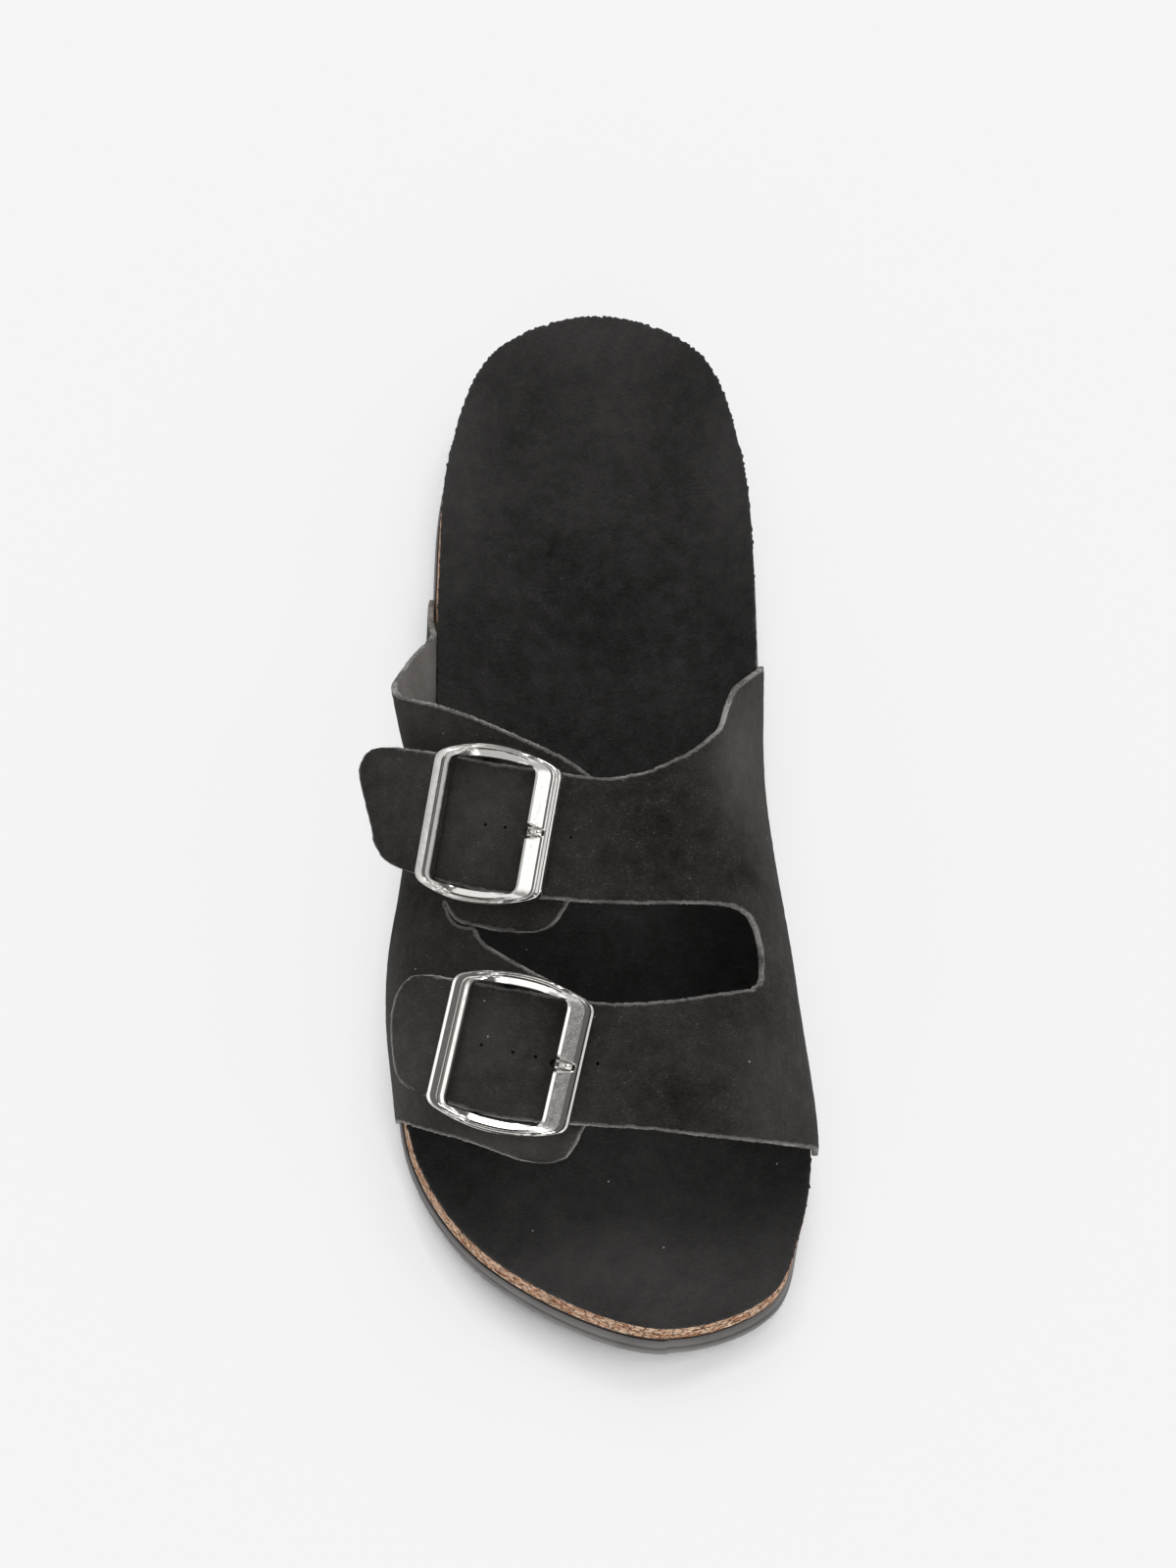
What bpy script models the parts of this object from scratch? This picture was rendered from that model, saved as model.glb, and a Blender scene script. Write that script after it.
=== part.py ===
"""Right-foot buckle mule: outsole, cork midsole, insole, strap upper and two buckles.

Lengths are millimetres until a mesh is made. X points to the inner side of the foot, Y to the
heel and Z up. The origin lies on the floor under the middle of the sole.
"""
import bmesh
import bpy
import numpy as np

MM = 0.001
GAP = 0.3  # clearance where two pieces meet

# Sole thicknesses, and the lift of the toe off the floor
OUTSOLE = 9.0
INSOLE = 1.5
INSOLE_ROUND = (0.6, 0.5)  # how far its top edge is cut back, and down
SPRING_FROM = -60.0
SPRING_RUN = 64.0
SPRING_RISE = 7.0
TOE_FROM = -98.0  # y where the outsole's foot starts to spread
TOE_RUN = 22.0
TOE_SPREAD = 1.0
SPREAD_DEPTH = 3.5  # depth under the outsole's top where the spread is full
STATIONS = 36
ACROSS = 10

# Upper
LEATHER = 1.5
FUSED = 0.5  # depth that a strap shares with the tab end under it
INNER_FULLNESS = 2.8  # exponent of the inner side's section, 2 is an ellipse
STRAP_COLUMNS = 24
PANEL_COLUMNS = 9

# Buckles
REAR_BUCKLE = (62.4, 0.0, 0.92, 0.5)  # angle of its middle, turn in degrees, tail stretch, shift
FRONT_BUCKLE = (69.0, 4.5, 1.04, 0.0)
BUCKLE_CURVE = 90.0  # radius that the frame is bent to, along the strap
FRAME_OUTSIDE = (16.4, 16.0, 14.6, 3.9, 4.0)  # to its prong end, tail end, sides; bow of sides, corner
FRAME_OPENING = (10.3, 11.5, 14.3, 0.9, 4.4)
FRAME_REST = 0.8  # clear height under the frame at its middle
FRAME_HEIGHT = 3.2
AXLE_RADIUS = 0.9
AXLE_ALONG = -5.0  # place of the axle along the strap
PRONG_RADIUS = 0.8
PRONG_PLAY = 0.35
LUG_INNER = 15.0
LUG_OUTER = 17.7
LUG_HALF = 2.0
LUG_SKIN = 1.2  # metal left over the end of the axle's hole

OUTLINE = (  # edge of the insole: place, x, y
    ("heel back", 0.0, 125.8),
    ("heel back outer", -24.8, 116.4),
    ("heel outer", -35.3, 90.4),
    ("heel front outer", -37.7, 57.0),
    ("waist outer", -38.3, 20.0),
    ("midfoot outer", -41.6, -20.0),
    ("ball outer", -45.2, -58.0),
    ("little toe", -41.3, -84.0),
    ("toe curve", -25.0, -106.3),
    ("toe tip", 14.0, -124.0),
    ("big toe front", 39.6, -116.0),
    ("big toe", 46.3, -102.0),
    ("big toe inner", 49.5, -82.0),
    ("ball inner", 43.5, -42.0),
    ("waist inner", 37.2, 2.0),
    ("heel front inner", 37.9, 45.0),
    ("heel inner", 34.9, 90.4),
    ("heel back inner", 24.7, 116.4),
)
FOOTBED = (  # y, height of outer rim, inner rim, seat, width of the rim's slope
    (-124.0, 23.0, 23.0, 21.0, 12.0),
    (-105.0, 20.5, 20.5, 18.5, 13.0),
    (-80.0, 19.5, 20.0, 17.0, 14.0),
    (-50.0, 20.5, 21.5, 18.0, 16.0),
    (-20.0, 23.0, 27.0, 20.0, 20.0),
    (15.0, 26.5, 32.0, 20.0, 23.0),
    (50.0, 28.5, 31.5, 19.5, 23.0),
    (90.0, 30.0, 30.5, 19.5, 22.0),
    (125.5, 31.5, 31.5, 21.0, 20.0),
)
PADS = (  # raised places of the footbed: x, y, half width, half length, height
    (27.0, 12.0, 14.0, 32.0, 4.0),
    (-2.0, -26.0, 14.0, 15.0, 2.2),
    (0.0, -78.0, 26.0, 7.0, 1.6),
)
FLARE = (  # how far the cork's foot stands out: y, outer side, inner side
    (-124.0, 1.2, 1.0),
    (-108.0, 0.9, 0.1),
    (-95.0, 0.7, -0.3),
    (-85.0, 0.7, 0.1),
    (-65.0, 0.8, 0.8),
    (-40.0, 1.0, 1.7),
    (0.0, 1.2, 1.5),
    (20.0, 1.2, 0.8),
    (38.0, 1.2, 0.4),
    (60.0, 1.2, 0.3),
    (125.5, 0.8, 0.6),
)
OUTSOLE_SIDE = (  # depth under the outsole's top, distance out from the cork's foot
    (0.0, 0.2),
    (0.7, 0.7),
    (2.4, 0.9),
    (2.7, 0.5),
    (3.2, 0.5),
    (3.5, 1.0),
    (8.2, 0.7),
)
LAST = (  # y, crown x, crown z, top flare, side bulge, side fullness
    (-100.0, 9.0, 42.0, 0.0, 0.0, 2.2),
    (-80.0, 9.0, 47.5, 0.0, 0.7, 2.2),
    (-60.0, 9.0, 53.0, 0.0, 4.3, 2.2),
    (-35.0, 8.5, 59.5, 0.0, 6.6, 2.15),
    (-20.0, 8.0, 63.0, 0.0, 5.7, 2.1),
    (0.0, 7.5, 68.5, 3.5, 3.3, 2.1),
    (12.0, 7.0, 71.8, 10.3, 1.8, 2.1),
    (20.0, 6.5, 73.8, 14.0, 0.6, 2.1),
    (26.0, 6.0, 75.2, 16.0, 0.0, 2.1),
    (33.0, 5.8, 76.4, 17.5, 0.0, 2.1),
    (40.0, 5.5, 77.5, 17.0, 0.0, 2.1),
    (60.0, 5.0, 80.0, 0.0, 0.0, 2.1),
)
FLARE_ANGLES = (15.0, 62.0)  # where the top flare starts and ends
STRAP_SPLIT = -40.0  # y between the two straps
FRONT_STRAP = (80.0, 1.9, 3.2)  # reach past the crown, fullness of its section, lift at the buckle
REAR_STRAP = (80.0, 1.6, 3.2)
LIFT_SHAPE = (  # angle, share of the sunk tab's height, share of the strap lift
    (30.0, 1.0, 0.3),
    (40.0, 1.0, 0.7),
    (50.0, 1.0, 1.0),
    (68.0, 1.0, 1.0),
    (73.0, 1.0, 0.75),
    (78.0, 1.0, 0.15),
    (81.0, 1.0, 0.0),
    (86.0, 0.95, 0.0),
    (102.0, 0.0, 0.0),
    (180.0, 0.0, 0.0),
)

# Edges of the inner piece and its straps: angle, y
FRONT_STRAP_FRONT = (
    (46.0, -72.5), (53.5, -75.0), (65.5, -80.5), (80.0, -83.0), (90.0, -84.0), (99.0, -85.0),
    (114.0, -85.6), (136.0, -85.2), (157.0, -83.5), (180.0, -80.0),
)
FRONT_STRAP_REAR = (
    (46.0, -45.5), (53.0, -47.5), (62.0, -50.5), (72.0, -53.5), (82.5, -56.3), (88.0, -56.6),
    (95.0, -56.0), (106.0, -54.5), (127.0, -51.5),
)
REAR_STRAP_FRONT = (
    (36.0, -16.2), (44.5, -21.5), (49.5, -24.0), (58.5, -29.0), (67.0, -32.0), (80.5, -34.5),
    (90.0, -35.0), (102.0, -34.6), (120.0, -34.0),
)
REAR_STRAP_REAR = (
    (36.0, 10.3), (44.0, 7.0), (54.5, 2.5), (63.5, -1.5), (73.0, -4.6), (84.0, -6.9), (90.5, -6.2),
    (98.0, -3.7), (110.0, 0.4), (119.0, 4.4), (125.0, 7.6), (128.5, 11.5), (134.0, 16.8), (142.0, 21.0),
    (153.0, 26.0), (166.0, 32.5), (180.0, 41.0),
)
CUTOUT_END = (
    (127.0, -51.5), (131.6, -49.0), (133.8, -43.5), (133.4, -39.0), (128.0, -36.0), (120.0, -34.0),
)

# Edges of the outer piece and its tabs: angle, y
OUTER_FRONT = (
    (0.0, -72.0), (18.5, -75.7), (32.0, -80.0), (46.5, -84.6), (58.0, -88.9), (66.0, -91.5),
    (87.0, -95.5),
)
OUTER_REAR = (
    (0.0, 60.0), (3.0, 57.0), (7.0, 52.0), (14.0, 45.0), (21.0, 37.5), (27.0, 29.5), (36.0, 21.0),
    (47.0, 14.5), (59.0, 5.5), (68.0, 1.0), (76.0, -3.2), (82.0, -7.4), (87.0, -10.5),
)
FRONT_TAB_REAR = (
    (43.0, -31.5), (49.0, -35.5), (54.0, -39.5), (61.5, -44.0), (71.0, -49.0), (76.5, -52.0),
    (82.0, -56.5), (87.0, -60.0),
)
REAR_TAB_FRONT = (
    (43.0, -31.5), (47.0, -34.0), (53.0, -36.7), (61.0, -39.7), (68.0, -41.3), (87.0, -44.0),
)
NOTCH_END = ((43.0, -31.5),)

# Ends of the straps and tabs: share across from the front edge, angle of front one, of rear one
STRAP_ENDS = (
    (0.0, 53.5, 47.0),
    (0.04, 50.0, 42.8),
    (0.12, 48.2, 41.1),
    (0.3, 47.2, 40.2),
    (0.5, 46.9, 38.9),
    (0.7, 47.4, 37.7),
    (0.88, 49.3, 38.8),
    (0.96, 51.2, 40.6),
    (1.0, 54.0, 43.5),
)
TAB_ENDS = (
    (0.0, 60.0, 63.0),
    (0.015, 65.5, 67.5),
    (0.05, 71.0, 71.0),
    (0.12, 75.5, 73.5),
    (0.25, 79.5, 76.5),
    (0.5, 84.5, 83.0),
    (0.75, 87.0, 86.0),
    (1.0, 87.0, 86.0),
)
FRAME_SECTION = (  # share across the bar from the opening, share of its height
    (0.0, 0.2),
    (0.1, 0.0),
    (0.9, 0.0),
    (1.0, 0.25),
    (1.0, 0.65),
    (0.85, 1.0),
    (0.6, 1.0),
    (0.0, 0.6),
)
PRONG_PATH = (  # distance along the strap, height over its face
    (AXLE_ALONG, -3.0),
    (3.0, -2.9),
    (8.8, -1.9),
    (10.8, 0.5),
    (11.8, 2.1),
    (13.1, 3.0),
    (14.5, 3.2),
)


def hermite(t, start, end, start_slope, end_slope):
    """Cubic from start to end with given slopes, for t from 0 to 1."""
    left = (1 + 2 * t) * (1 - t) ** 2 * start + t * (1 - t) ** 2 * start_slope
    right = t * t * (3 - 2 * t) * end - t * t * (1 - t) * end_slope
    return left + right


def smooth(rows, column):
    """Smooth curve through one column of a table, read against its first column."""
    place = np.array([row[0] for row in rows], float)
    value = np.array([row[column] for row in rows], float)
    slope = np.gradient(value, place)

    def read(at):
        at = np.clip(at, place[0], place[-1])
        i = np.clip(np.searchsorted(place, at) - 1, 0, len(place) - 2)
        run = place[i + 1] - place[i]
        t = (at - place[i]) / run
        return hermite(t, value[i], value[i + 1], run * slope[i], run * slope[i + 1])

    return read


def closed_curve(points, steps=40):
    """Centripetal curve through a closed ring of points."""
    ring = np.array(points, float)
    count = len(ring)
    share = np.linspace(0, 1, steps, endpoint=False)[:, None]
    runs = []
    for k in range(count):
        p0, p1, p2, p3 = (ring[(k + i) % count] for i in (-1, 0, 1, 2))
        d1, d2, d3 = (np.linalg.norm(step) ** 0.5 for step in (p1 - p0, p2 - p1, p3 - p2))
        start = p2 - p1 + d2 * ((p1 - p0) / d1 - (p2 - p0) / (d1 + d2))
        end = p2 - p1 + d2 * ((p3 - p2) / d3 - (p3 - p1) / (d2 + d3))
        runs.append(hermite(share, p1, p2, start, end))
    return np.vstack(runs)


def outline_sides():
    """Outer and inner side of the insole's edge, each from the heel's back to the toe's tip."""
    edge = closed_curve([row[1:] for row in OUTLINE])
    edge = np.roll(edge, -edge[:, 1].argmax(), axis=0)
    toe = edge[:, 1].argmin()
    outer = edge[: toe + 1]
    inner = np.vstack([edge[:1], edge[: toe - 1 : -1]])
    return edge, outer, inner


EDGE, OUTER_SIDE, INNER_SIDE = outline_sides()
OUTER_RIM, INNER_RIM, SEAT, RIM_SLOPE = (smooth(FOOTBED, column) for column in (1, 2, 3, 4))
OUTER_FLARE, INNER_FLARE = (smooth(FLARE, column) for column in (1, 2))
CROWN_X, CROWN_Z, TOP_FLARE, SIDE_BULGE, SIDE_FULLNESS = (smooth(LAST, column) for column in range(1, 6))
SUNK_SHARE, LIFT_SHARE = (smooth(LIFT_SHAPE, column) for column in (1, 2))


def outer_edge(y):
    """X of the insole's outer edge."""
    return np.interp(y, OUTER_SIDE[::-1, 1], OUTER_SIDE[::-1, 0])


def inner_edge(y):
    """X of the insole's inner edge."""
    return np.interp(y, INNER_SIDE[::-1, 1], INNER_SIDE[::-1, 0])


def spring(y):
    """Lift of the sole's underside off the floor."""
    return SPRING_RISE * np.clip((SPRING_FROM - y) / SPRING_RUN, 0, None) ** 2


def footbed(points, share):
    """Height of the insole's top; share runs from the outer edge to the inner one."""
    x, y = points[:, 0], points[:, 1]
    rim = OUTER_RIM(y) + (INNER_RIM(y) - OUTER_RIM(y)) * share
    floor = SEAT(y)
    for pad_x, pad_y, width, length, height in PADS:
        floor = floor + height * np.exp(-(((x - pad_x) / width) ** 2) - ((y - pad_y) / length) ** 2)
    inset = np.linalg.norm(points[:, None, :] - EDGE[None], axis=2).min(axis=1)
    wall = np.clip(1 - inset / RIM_SLOPE(y), 0, 1) ** 2
    return floor + (rim - floor) * wall


def insole_top(points, share):
    return footbed(points, share)


def insole_side(points, share):
    return footbed(points, share) - INSOLE_ROUND[1]


def insole_under(points, share):
    return footbed(points, share) - INSOLE


def cork_top(points, share):
    return footbed(points, share) - INSOLE - GAP


def cork_foot(points, share):
    return spring(points[:, 1]) + OUTSOLE + GAP


def cork_waist(points, share):
    return (cork_top(points, share) + cork_foot(points, share)) / 2


def outsole_level(depth):
    """Height function for a line of the outsole's side, by its depth under the top."""

    def height(points, share):
        return spring(points[:, 1]) + OUTSOLE - depth

    return height


def station_points(side, offsets):
    """Points of one side at the sole's stations, moved out by an offset for each."""
    turn = np.linspace(0, np.pi, STATIONS + 1)
    top, low = EDGE[:, 1].max(), EDGE[:, 1].min()
    y = low + (top - low) * (1 + np.cos(turn)) / 2
    run = np.gradient(side, axis=0)
    out = np.stack([run[:, 1], -run[:, 0]], axis=1)
    out /= np.linalg.norm(out, axis=1, keepdims=True)
    out *= np.sign(out[len(out) // 2, 0] * side[len(side) // 2, 0])
    out[0] = (0, 1)
    out[-1] = (0, -1)
    place = -side[:, 1]
    point = np.stack([np.interp(-y, place, side[:, k]) for k in (0, 1)], axis=1)
    normal = np.stack([np.interp(-y, place, out[:, k]) for k in (0, 1)], axis=1)
    return point + normal * offsets(y)[:, None]


def level_grid(level):
    """Points of a sole level, station by station from the outer edge to the inner one."""
    outer_offset, inner_offset, height = level
    outer = station_points(OUTER_SIDE, outer_offset)
    inner = station_points(INNER_SIDE, inner_offset)
    share = (1 - np.cos(np.linspace(0, np.pi, ACROSS + 1))) / 2
    grid = []
    for start, end in zip(outer, inner):
        flat = start + (end - start) * share[:, None]
        grid.append(np.column_stack([flat, height(flat, share)]))
    return np.array(grid)


def sole_layer(levels):
    """Closed mesh of a sole layer: a grid on top, rings down its side and a grid below."""
    points = []
    faces = []

    def add(point):
        points.append(point)
        return len(points) - 1

    def add_grid(grid):
        middle = ACROSS // 2
        index = [[add(grid[0][middle])] * (ACROSS + 1)]
        index += [[add(point) for point in row] for row in grid[1:-1]]
        index += [[add(grid[-1][middle])] * (ACROSS + 1)]
        return index

    def add_ring(grid):
        middle = ACROSS // 2
        rows = range(1, STATIONS)
        ring = [grid[0][middle]] + [grid[i][0] for i in rows] + [grid[-1][middle]]
        ring += [grid[i][-1] for i in reversed(rows)]
        return [add(point) for point in ring]

    def grid_ring(index):
        rows = range(1, STATIONS)
        ring = [index[0][0]] + [index[i][0] for i in rows] + [index[-1][0]]
        return ring + [index[i][-1] for i in reversed(rows)]

    def fill(index):
        for upper, lower in zip(index, index[1:]):
            for j in range(ACROSS):
                corners = [upper[j], lower[j], lower[j + 1], upper[j + 1]]
                faces.append(list(dict.fromkeys(corners)))

    grids = [level_grid(level) for level in levels]
    top = add_grid(grids[0])
    rings = [grid_ring(top)] + [add_ring(grid) for grid in grids[1:-1]]
    under = add_grid(grids[-1])
    rings.append(grid_ring(under))
    fill(top)
    fill(under)
    for upper, lower in zip(rings, rings[1:]):
        for k in range(len(upper)):
            after = (k + 1) % len(upper)
            faces.append([upper[k], lower[k], lower[after], upper[after]])
    return np.array(points), faces


def even(offset):
    """Offset function that is the same at every station."""
    return lambda y: np.full_like(y, offset)


def beyond(flare, share, extra=0.0, spread=0.0):
    """Offset function: a share of the cork's flare, a fixed distance and a spread at the toe."""
    return lambda y: flare(y) * share + extra + spread * np.clip((TOE_FROM - y) / TOE_RUN, 0, 1)


def insole_levels():
    return (
        (even(-INSOLE_ROUND[0]), even(-INSOLE_ROUND[0]), insole_top),
        (even(0.0), even(0.0), insole_side),
        (even(0.0), even(0.0), insole_under),
    )


def cork_levels():
    return (
        (even(0.0), even(0.0), cork_top),
        (beyond(OUTER_FLARE, 0.45), beyond(INNER_FLARE, 0.45), cork_waist),
        (beyond(OUTER_FLARE, 1.0), beyond(INNER_FLARE, 1.0), cork_foot),
    )


def outsole_levels():
    levels = []
    for depth, out in (*OUTSOLE_SIDE, (OUTSOLE, -0.2)):
        spread = TOE_SPREAD * min(depth / SPREAD_DEPTH, 1.0)
        outer, inner = (beyond(flare, 1.0, out, spread) for flare in (OUTER_FLARE, INNER_FLARE))
        levels.append((outer, inner, outsole_level(depth)))
    return levels


def section(angle, foot_x, foot_z, crown_x, crown_z, fullness):
    """Point of a cross-section: 0 degrees at its foot, 90 degrees at its crown."""
    turn = np.radians(angle)
    across = np.abs(np.cos(turn)) ** (2 / fullness)
    up = np.abs(np.sin(turn)) ** (2 / fullness)
    return crown_x + (foot_x - crown_x) * across, foot_z + (crown_z - foot_z) * up


def foot_height(y):
    return spring(y) + OUTSOLE + GAP


def outer_form(angle, y):
    """Inside face of the outer piece, from the sole at 0 degrees to the crown at 90."""
    foot = outer_edge(y) - OUTER_FLARE(y) - GAP
    x, z = section(angle, foot, foot_height(y), CROWN_X(y), CROWN_Z(y), SIDE_FULLNESS(y))
    over = np.clip((angle - FLARE_ANGLES[0]) / (FLARE_ANGLES[1] - FLARE_ANGLES[0]), 0, 1)
    x = x - TOP_FLARE(y) * np.sin(np.pi * over) ** 1.5
    x = x - SIDE_BULGE(y) * np.sin(np.pi * np.clip(angle / 60, 0, 1)) ** 2
    return np.stack(np.broadcast_arrays(x, y, z), axis=-1)


def strap_shape(y):
    """Reach, fullness and lift of the strap that runs through y."""
    return [np.where(y < STRAP_SPLIT, front, rear) for front, rear in zip(FRONT_STRAP, REAR_STRAP)]


def strap_form(angle, y):
    """Face that the inner piece and its straps follow: over 90 degrees on the inner side."""
    foot = inner_edge(y) + INNER_FLARE(y) + GAP
    inner = section(angle, foot, foot_height(y), CROWN_X(y), CROWN_Z(y), INNER_FULLNESS)
    reach, fullness, _ = strap_shape(y)
    outer = section(angle, CROWN_X(y) - reach, foot_height(y), CROWN_X(y), CROWN_Z(y), fullness)
    x, z = np.where(angle > 90, inner, outer)
    return np.stack(np.broadcast_arrays(x, y, z), axis=-1)


def strap_height(angle, y):
    """Height of a strap's inside over its form: onto the tab's end, then over the buckle's axle."""
    lift = strap_shape(y)[2]
    return (LEATHER - FUSED) * SUNK_SHARE(angle) + lift * LIFT_SHARE(angle)


def raised(form, angle, y, height):
    """Points at a height over a form's face."""
    low = np.clip(angle - 0.1, 0.0, 179.8)
    along = form(low + 0.2, y) - form(low, y)
    back = form(angle, y + 0.5) - form(angle, y - 0.5)
    out = np.cross(along, back)
    out /= np.linalg.norm(out, axis=-1, keepdims=True)
    return form(angle, y) + out * np.asarray(height)[..., None]


def strap_face(angle, y, depth):
    """Point of the inner piece or a strap, depth 0 on its inside and 1 on its outside."""
    return raised(strap_form, angle, y, strap_height(angle, y) + LEATHER * depth)


def outer_face(angle, y, depth):
    """Point of the outer piece, depth 0 on its inside and 1 on its outside."""
    return raised(outer_form, angle, y, LEATHER * depth + 0.0 * y)


def forked_sheet(edges, fork, ends, foot_angle):
    """Angle, y and quads of a panel that splits into a front and a rear strip.

    edges are the front and rear edge of the front strip, then of the rear strip. fork is the
    split's end from the front strip's corner to the rear strip's.
    """
    front, front_inner, rear_inner, rear = (smooth(table, 1) for table in edges)
    shares = [row[0] for row in ends]
    strips = (
        (front, front_inner, fork[0], smooth(ends, 1)),
        (rear_inner, rear, fork[-1], smooth(ends, 2)),
    )
    angles = []
    places = []
    quads = []

    def add_run(angle, y):
        start = len(angles)
        angles.extend(angle)
        places.extend(y)
        return list(range(start, start + len(angle)))

    def panel_row(corner_angle, corner_y):
        angle = np.linspace(foot_angle, corner_angle, PANEL_COLUMNS + 1)
        share = (corner_y - front(corner_angle)) / (rear(corner_angle) - front(corner_angle))
        return add_run(angle, front(angle) + share * (rear(angle) - front(angle)))

    def strip_row(strip, share, start):
        low, high, corner, end = strip
        angle = np.linspace(corner[0], end(share), STRAP_COLUMNS + 1)[1:]
        return [start] + add_run(angle, low(angle) + share * (high(angle) - low(angle)))

    def fill(rows):
        for row, after in zip(rows, rows[1:]):
            for k in range(len(row) - 1):
                quads.append((row[k], row[k + 1], after[k + 1], after[k]))

    panel = []
    strip_starts = []
    for low, high, corner, end in strips:
        y = [low(corner[0]) + share * (high(corner[0]) - low(corner[0])) for share in shares]
        if strip_starts and len(fork) > 1:
            panel += [panel_row(*point) for point in fork[1:-1]]
        elif strip_starts:
            y = y[1:]
        rows = [panel_row(corner[0], place) for place in y]
        panel += rows
        strip_starts.append([row[-1] for row in panel[-len(shares):]])
    fill(panel)
    for strip, starts in zip(strips, strip_starts):
        fill([strip_row(strip, share, start) for share, start in zip(shares, starts)])
    return np.array(angles), np.array(places), quads


def thick_sheet(face, angle, y, quads):
    """Closed mesh of a sheet between its inside and outside face."""
    points = np.vstack([face(angle, y, 1.0), face(angle, y, 0.0)])
    count = len(angle)
    faces = [list(quad) for quad in quads] + [[k + count for k in reversed(quad)] for quad in quads]
    edges = {(quad[k], quad[(k + 1) % 4]) for quad in quads for k in range(4)}
    for a, b in edges:
        if (b, a) not in edges:
            faces.append([b, a, a + count, b + count])
    return points, faces


def inner_piece():
    edges = (FRONT_STRAP_FRONT, FRONT_STRAP_REAR, REAR_STRAP_FRONT, REAR_STRAP_REAR)
    return thick_sheet(strap_face, *forked_sheet(edges, CUTOUT_END, STRAP_ENDS, 180.0))


def outer_piece():
    edges = (OUTER_FRONT, FRONT_TAB_REAR, REAR_TAB_FRONT, OUTER_REAR)
    return thick_sheet(outer_face, *forked_sheet(edges, NOTCH_END, TAB_ENDS, 0.0))


def buckle_place(front_edge, rear_edge, at, turn, stretch, shift):
    """Function from a buckle's own coordinates, along, across and out of the strap, to the shoe's."""
    low, high = smooth(front_edge, 1), smooth(rear_edge, 1)

    def middle(angle):
        angle = np.array([angle])
        return strap_face(angle, (low(angle) + high(angle)) / 2, 1.0)[0]

    origin = middle(at)
    along = middle(at + 1) - middle(at - 1)
    along /= np.linalg.norm(along)
    angle, y = np.full(2, at), np.array([origin[1] - 1, origin[1] + 1])
    across = np.diff(strap_face(angle, y, 1.0), axis=0)[0]
    across -= along * (across @ along)
    across /= np.linalg.norm(across)
    origin = origin + across * shift
    cos, sin = np.cos(np.radians(turn)), np.sin(np.radians(turn))
    axes = np.array([along * cos - across * sin, across * cos + along * sin, np.cross(along, across)])

    def place(points):
        points = np.array(points, float)
        points[:, 0] *= np.where(points[:, 0] < 0, stretch, 1.0)
        points[:, 2] -= points[:, 0] ** 2 / (2 * BUCKLE_CURVE)
        return origin + points @ axes

    return place


def cut_corners(ring):
    """Closed ring of points with every corner cut at a quarter of its two sides."""
    after = np.roll(ring, -1, axis=0)
    return np.stack([ring * 0.75 + after * 0.25, ring * 0.25 + after * 0.75], axis=1).reshape(-1, 2)


def frame_line(prong_end, tail_end, side, bow, corner):
    """Ring round a buckle: straight ends, bowed sides and rounded corners."""
    half = [(prong_end, side - corner), (prong_end, side)]
    for share in (0.7, 0.25, -0.25, -0.7):
        half.append((share * (prong_end if share > 0 else tail_end), side + bow * (1 - share**2)))
    half += [(-tail_end, side), (-tail_end, side - corner)]
    ring = np.array(half + [(along, -across) for along, across in reversed(half)])
    return cut_corners(cut_corners(ring))


def frame_mesh():
    """Frame with bowed sides round a straight opening, and a wider bar at the prong's end."""
    opening, outside = frame_line(*FRAME_OPENING), frame_line(*FRAME_OUTSIDE)
    steps = len(opening)
    points = []
    for share, level in FRAME_SECTION:
        flat = opening + (outside - opening) * share
        points.append(np.column_stack([flat, np.full(steps, FRAME_REST + FRAME_HEIGHT * level)]))
    faces = []
    lines = len(FRAME_SECTION)
    for k in range(lines):
        below = (k + 1) % lines
        for i in range(steps):
            after = (i + 1) % steps
            corners = ((k, i), (k, after), (below, after), (below, i))
            faces.append([line * steps + step for line, step in corners])
    return np.vstack(points), faces


def rod_mesh(path, radius, side, sides=10):
    """Closed round rod along a path whose every run is square to the side direction."""
    path = np.array(path, float)
    side = np.array(side, float)
    run = np.gradient(path, axis=0)
    run /= np.linalg.norm(run, axis=1, keepdims=True)
    other = np.cross(run, side)
    turn = np.linspace(0, 2 * np.pi, sides, endpoint=False)
    points = []
    for centre, second in zip(path, other):
        points += [centre + radius * (np.cos(a) * side + np.sin(a) * second) for a in turn]
    faces = []
    for i in range(len(path) - 1):
        for k in range(sides):
            after = (k + 1) % sides
            corners = (i * sides + k, i * sides + after)
            faces.append([*corners, corners[1] + sides, corners[0] + sides])
    last = (len(path) - 1) * sides
    faces += [list(range(sides)), list(range(last, last + sides))]
    return np.array(points), faces


def block_mesh(low, high):
    """Box between two corners."""
    points = [
        (x, y, z) for x in (low[0], high[0]) for y in (low[1], high[1]) for z in (low[2], high[2])
    ]
    faces = [[0, 1, 3, 2], [4, 6, 7, 5], [0, 4, 5, 1], [2, 3, 7, 6], [0, 2, 6, 4], [1, 5, 7, 3]]
    return np.array(points, float), faces


def axle_path(half_length):
    height = PRONG_PATH[0][1]
    return [(AXLE_ALONG, y, height) for y in (-half_length, half_length)]


def prong_path(longer=0.0):
    path = [(along, 0.0, height) for along, height in PRONG_PATH]
    along, across, height = path[-1]
    return path[:-1] + [(along + longer, across, height)]


def material(name, colour, roughness, metallic=0.0):
    made = bpy.data.materials.new(name)
    made.use_nodes = True
    shader = made.node_tree.nodes["Principled BSDF"]
    shader.inputs["Base Color"].default_value = (*colour, 1.0)
    shader.inputs["Roughness"].default_value = roughness
    shader.inputs["Metallic"].default_value = metallic
    return made


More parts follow.
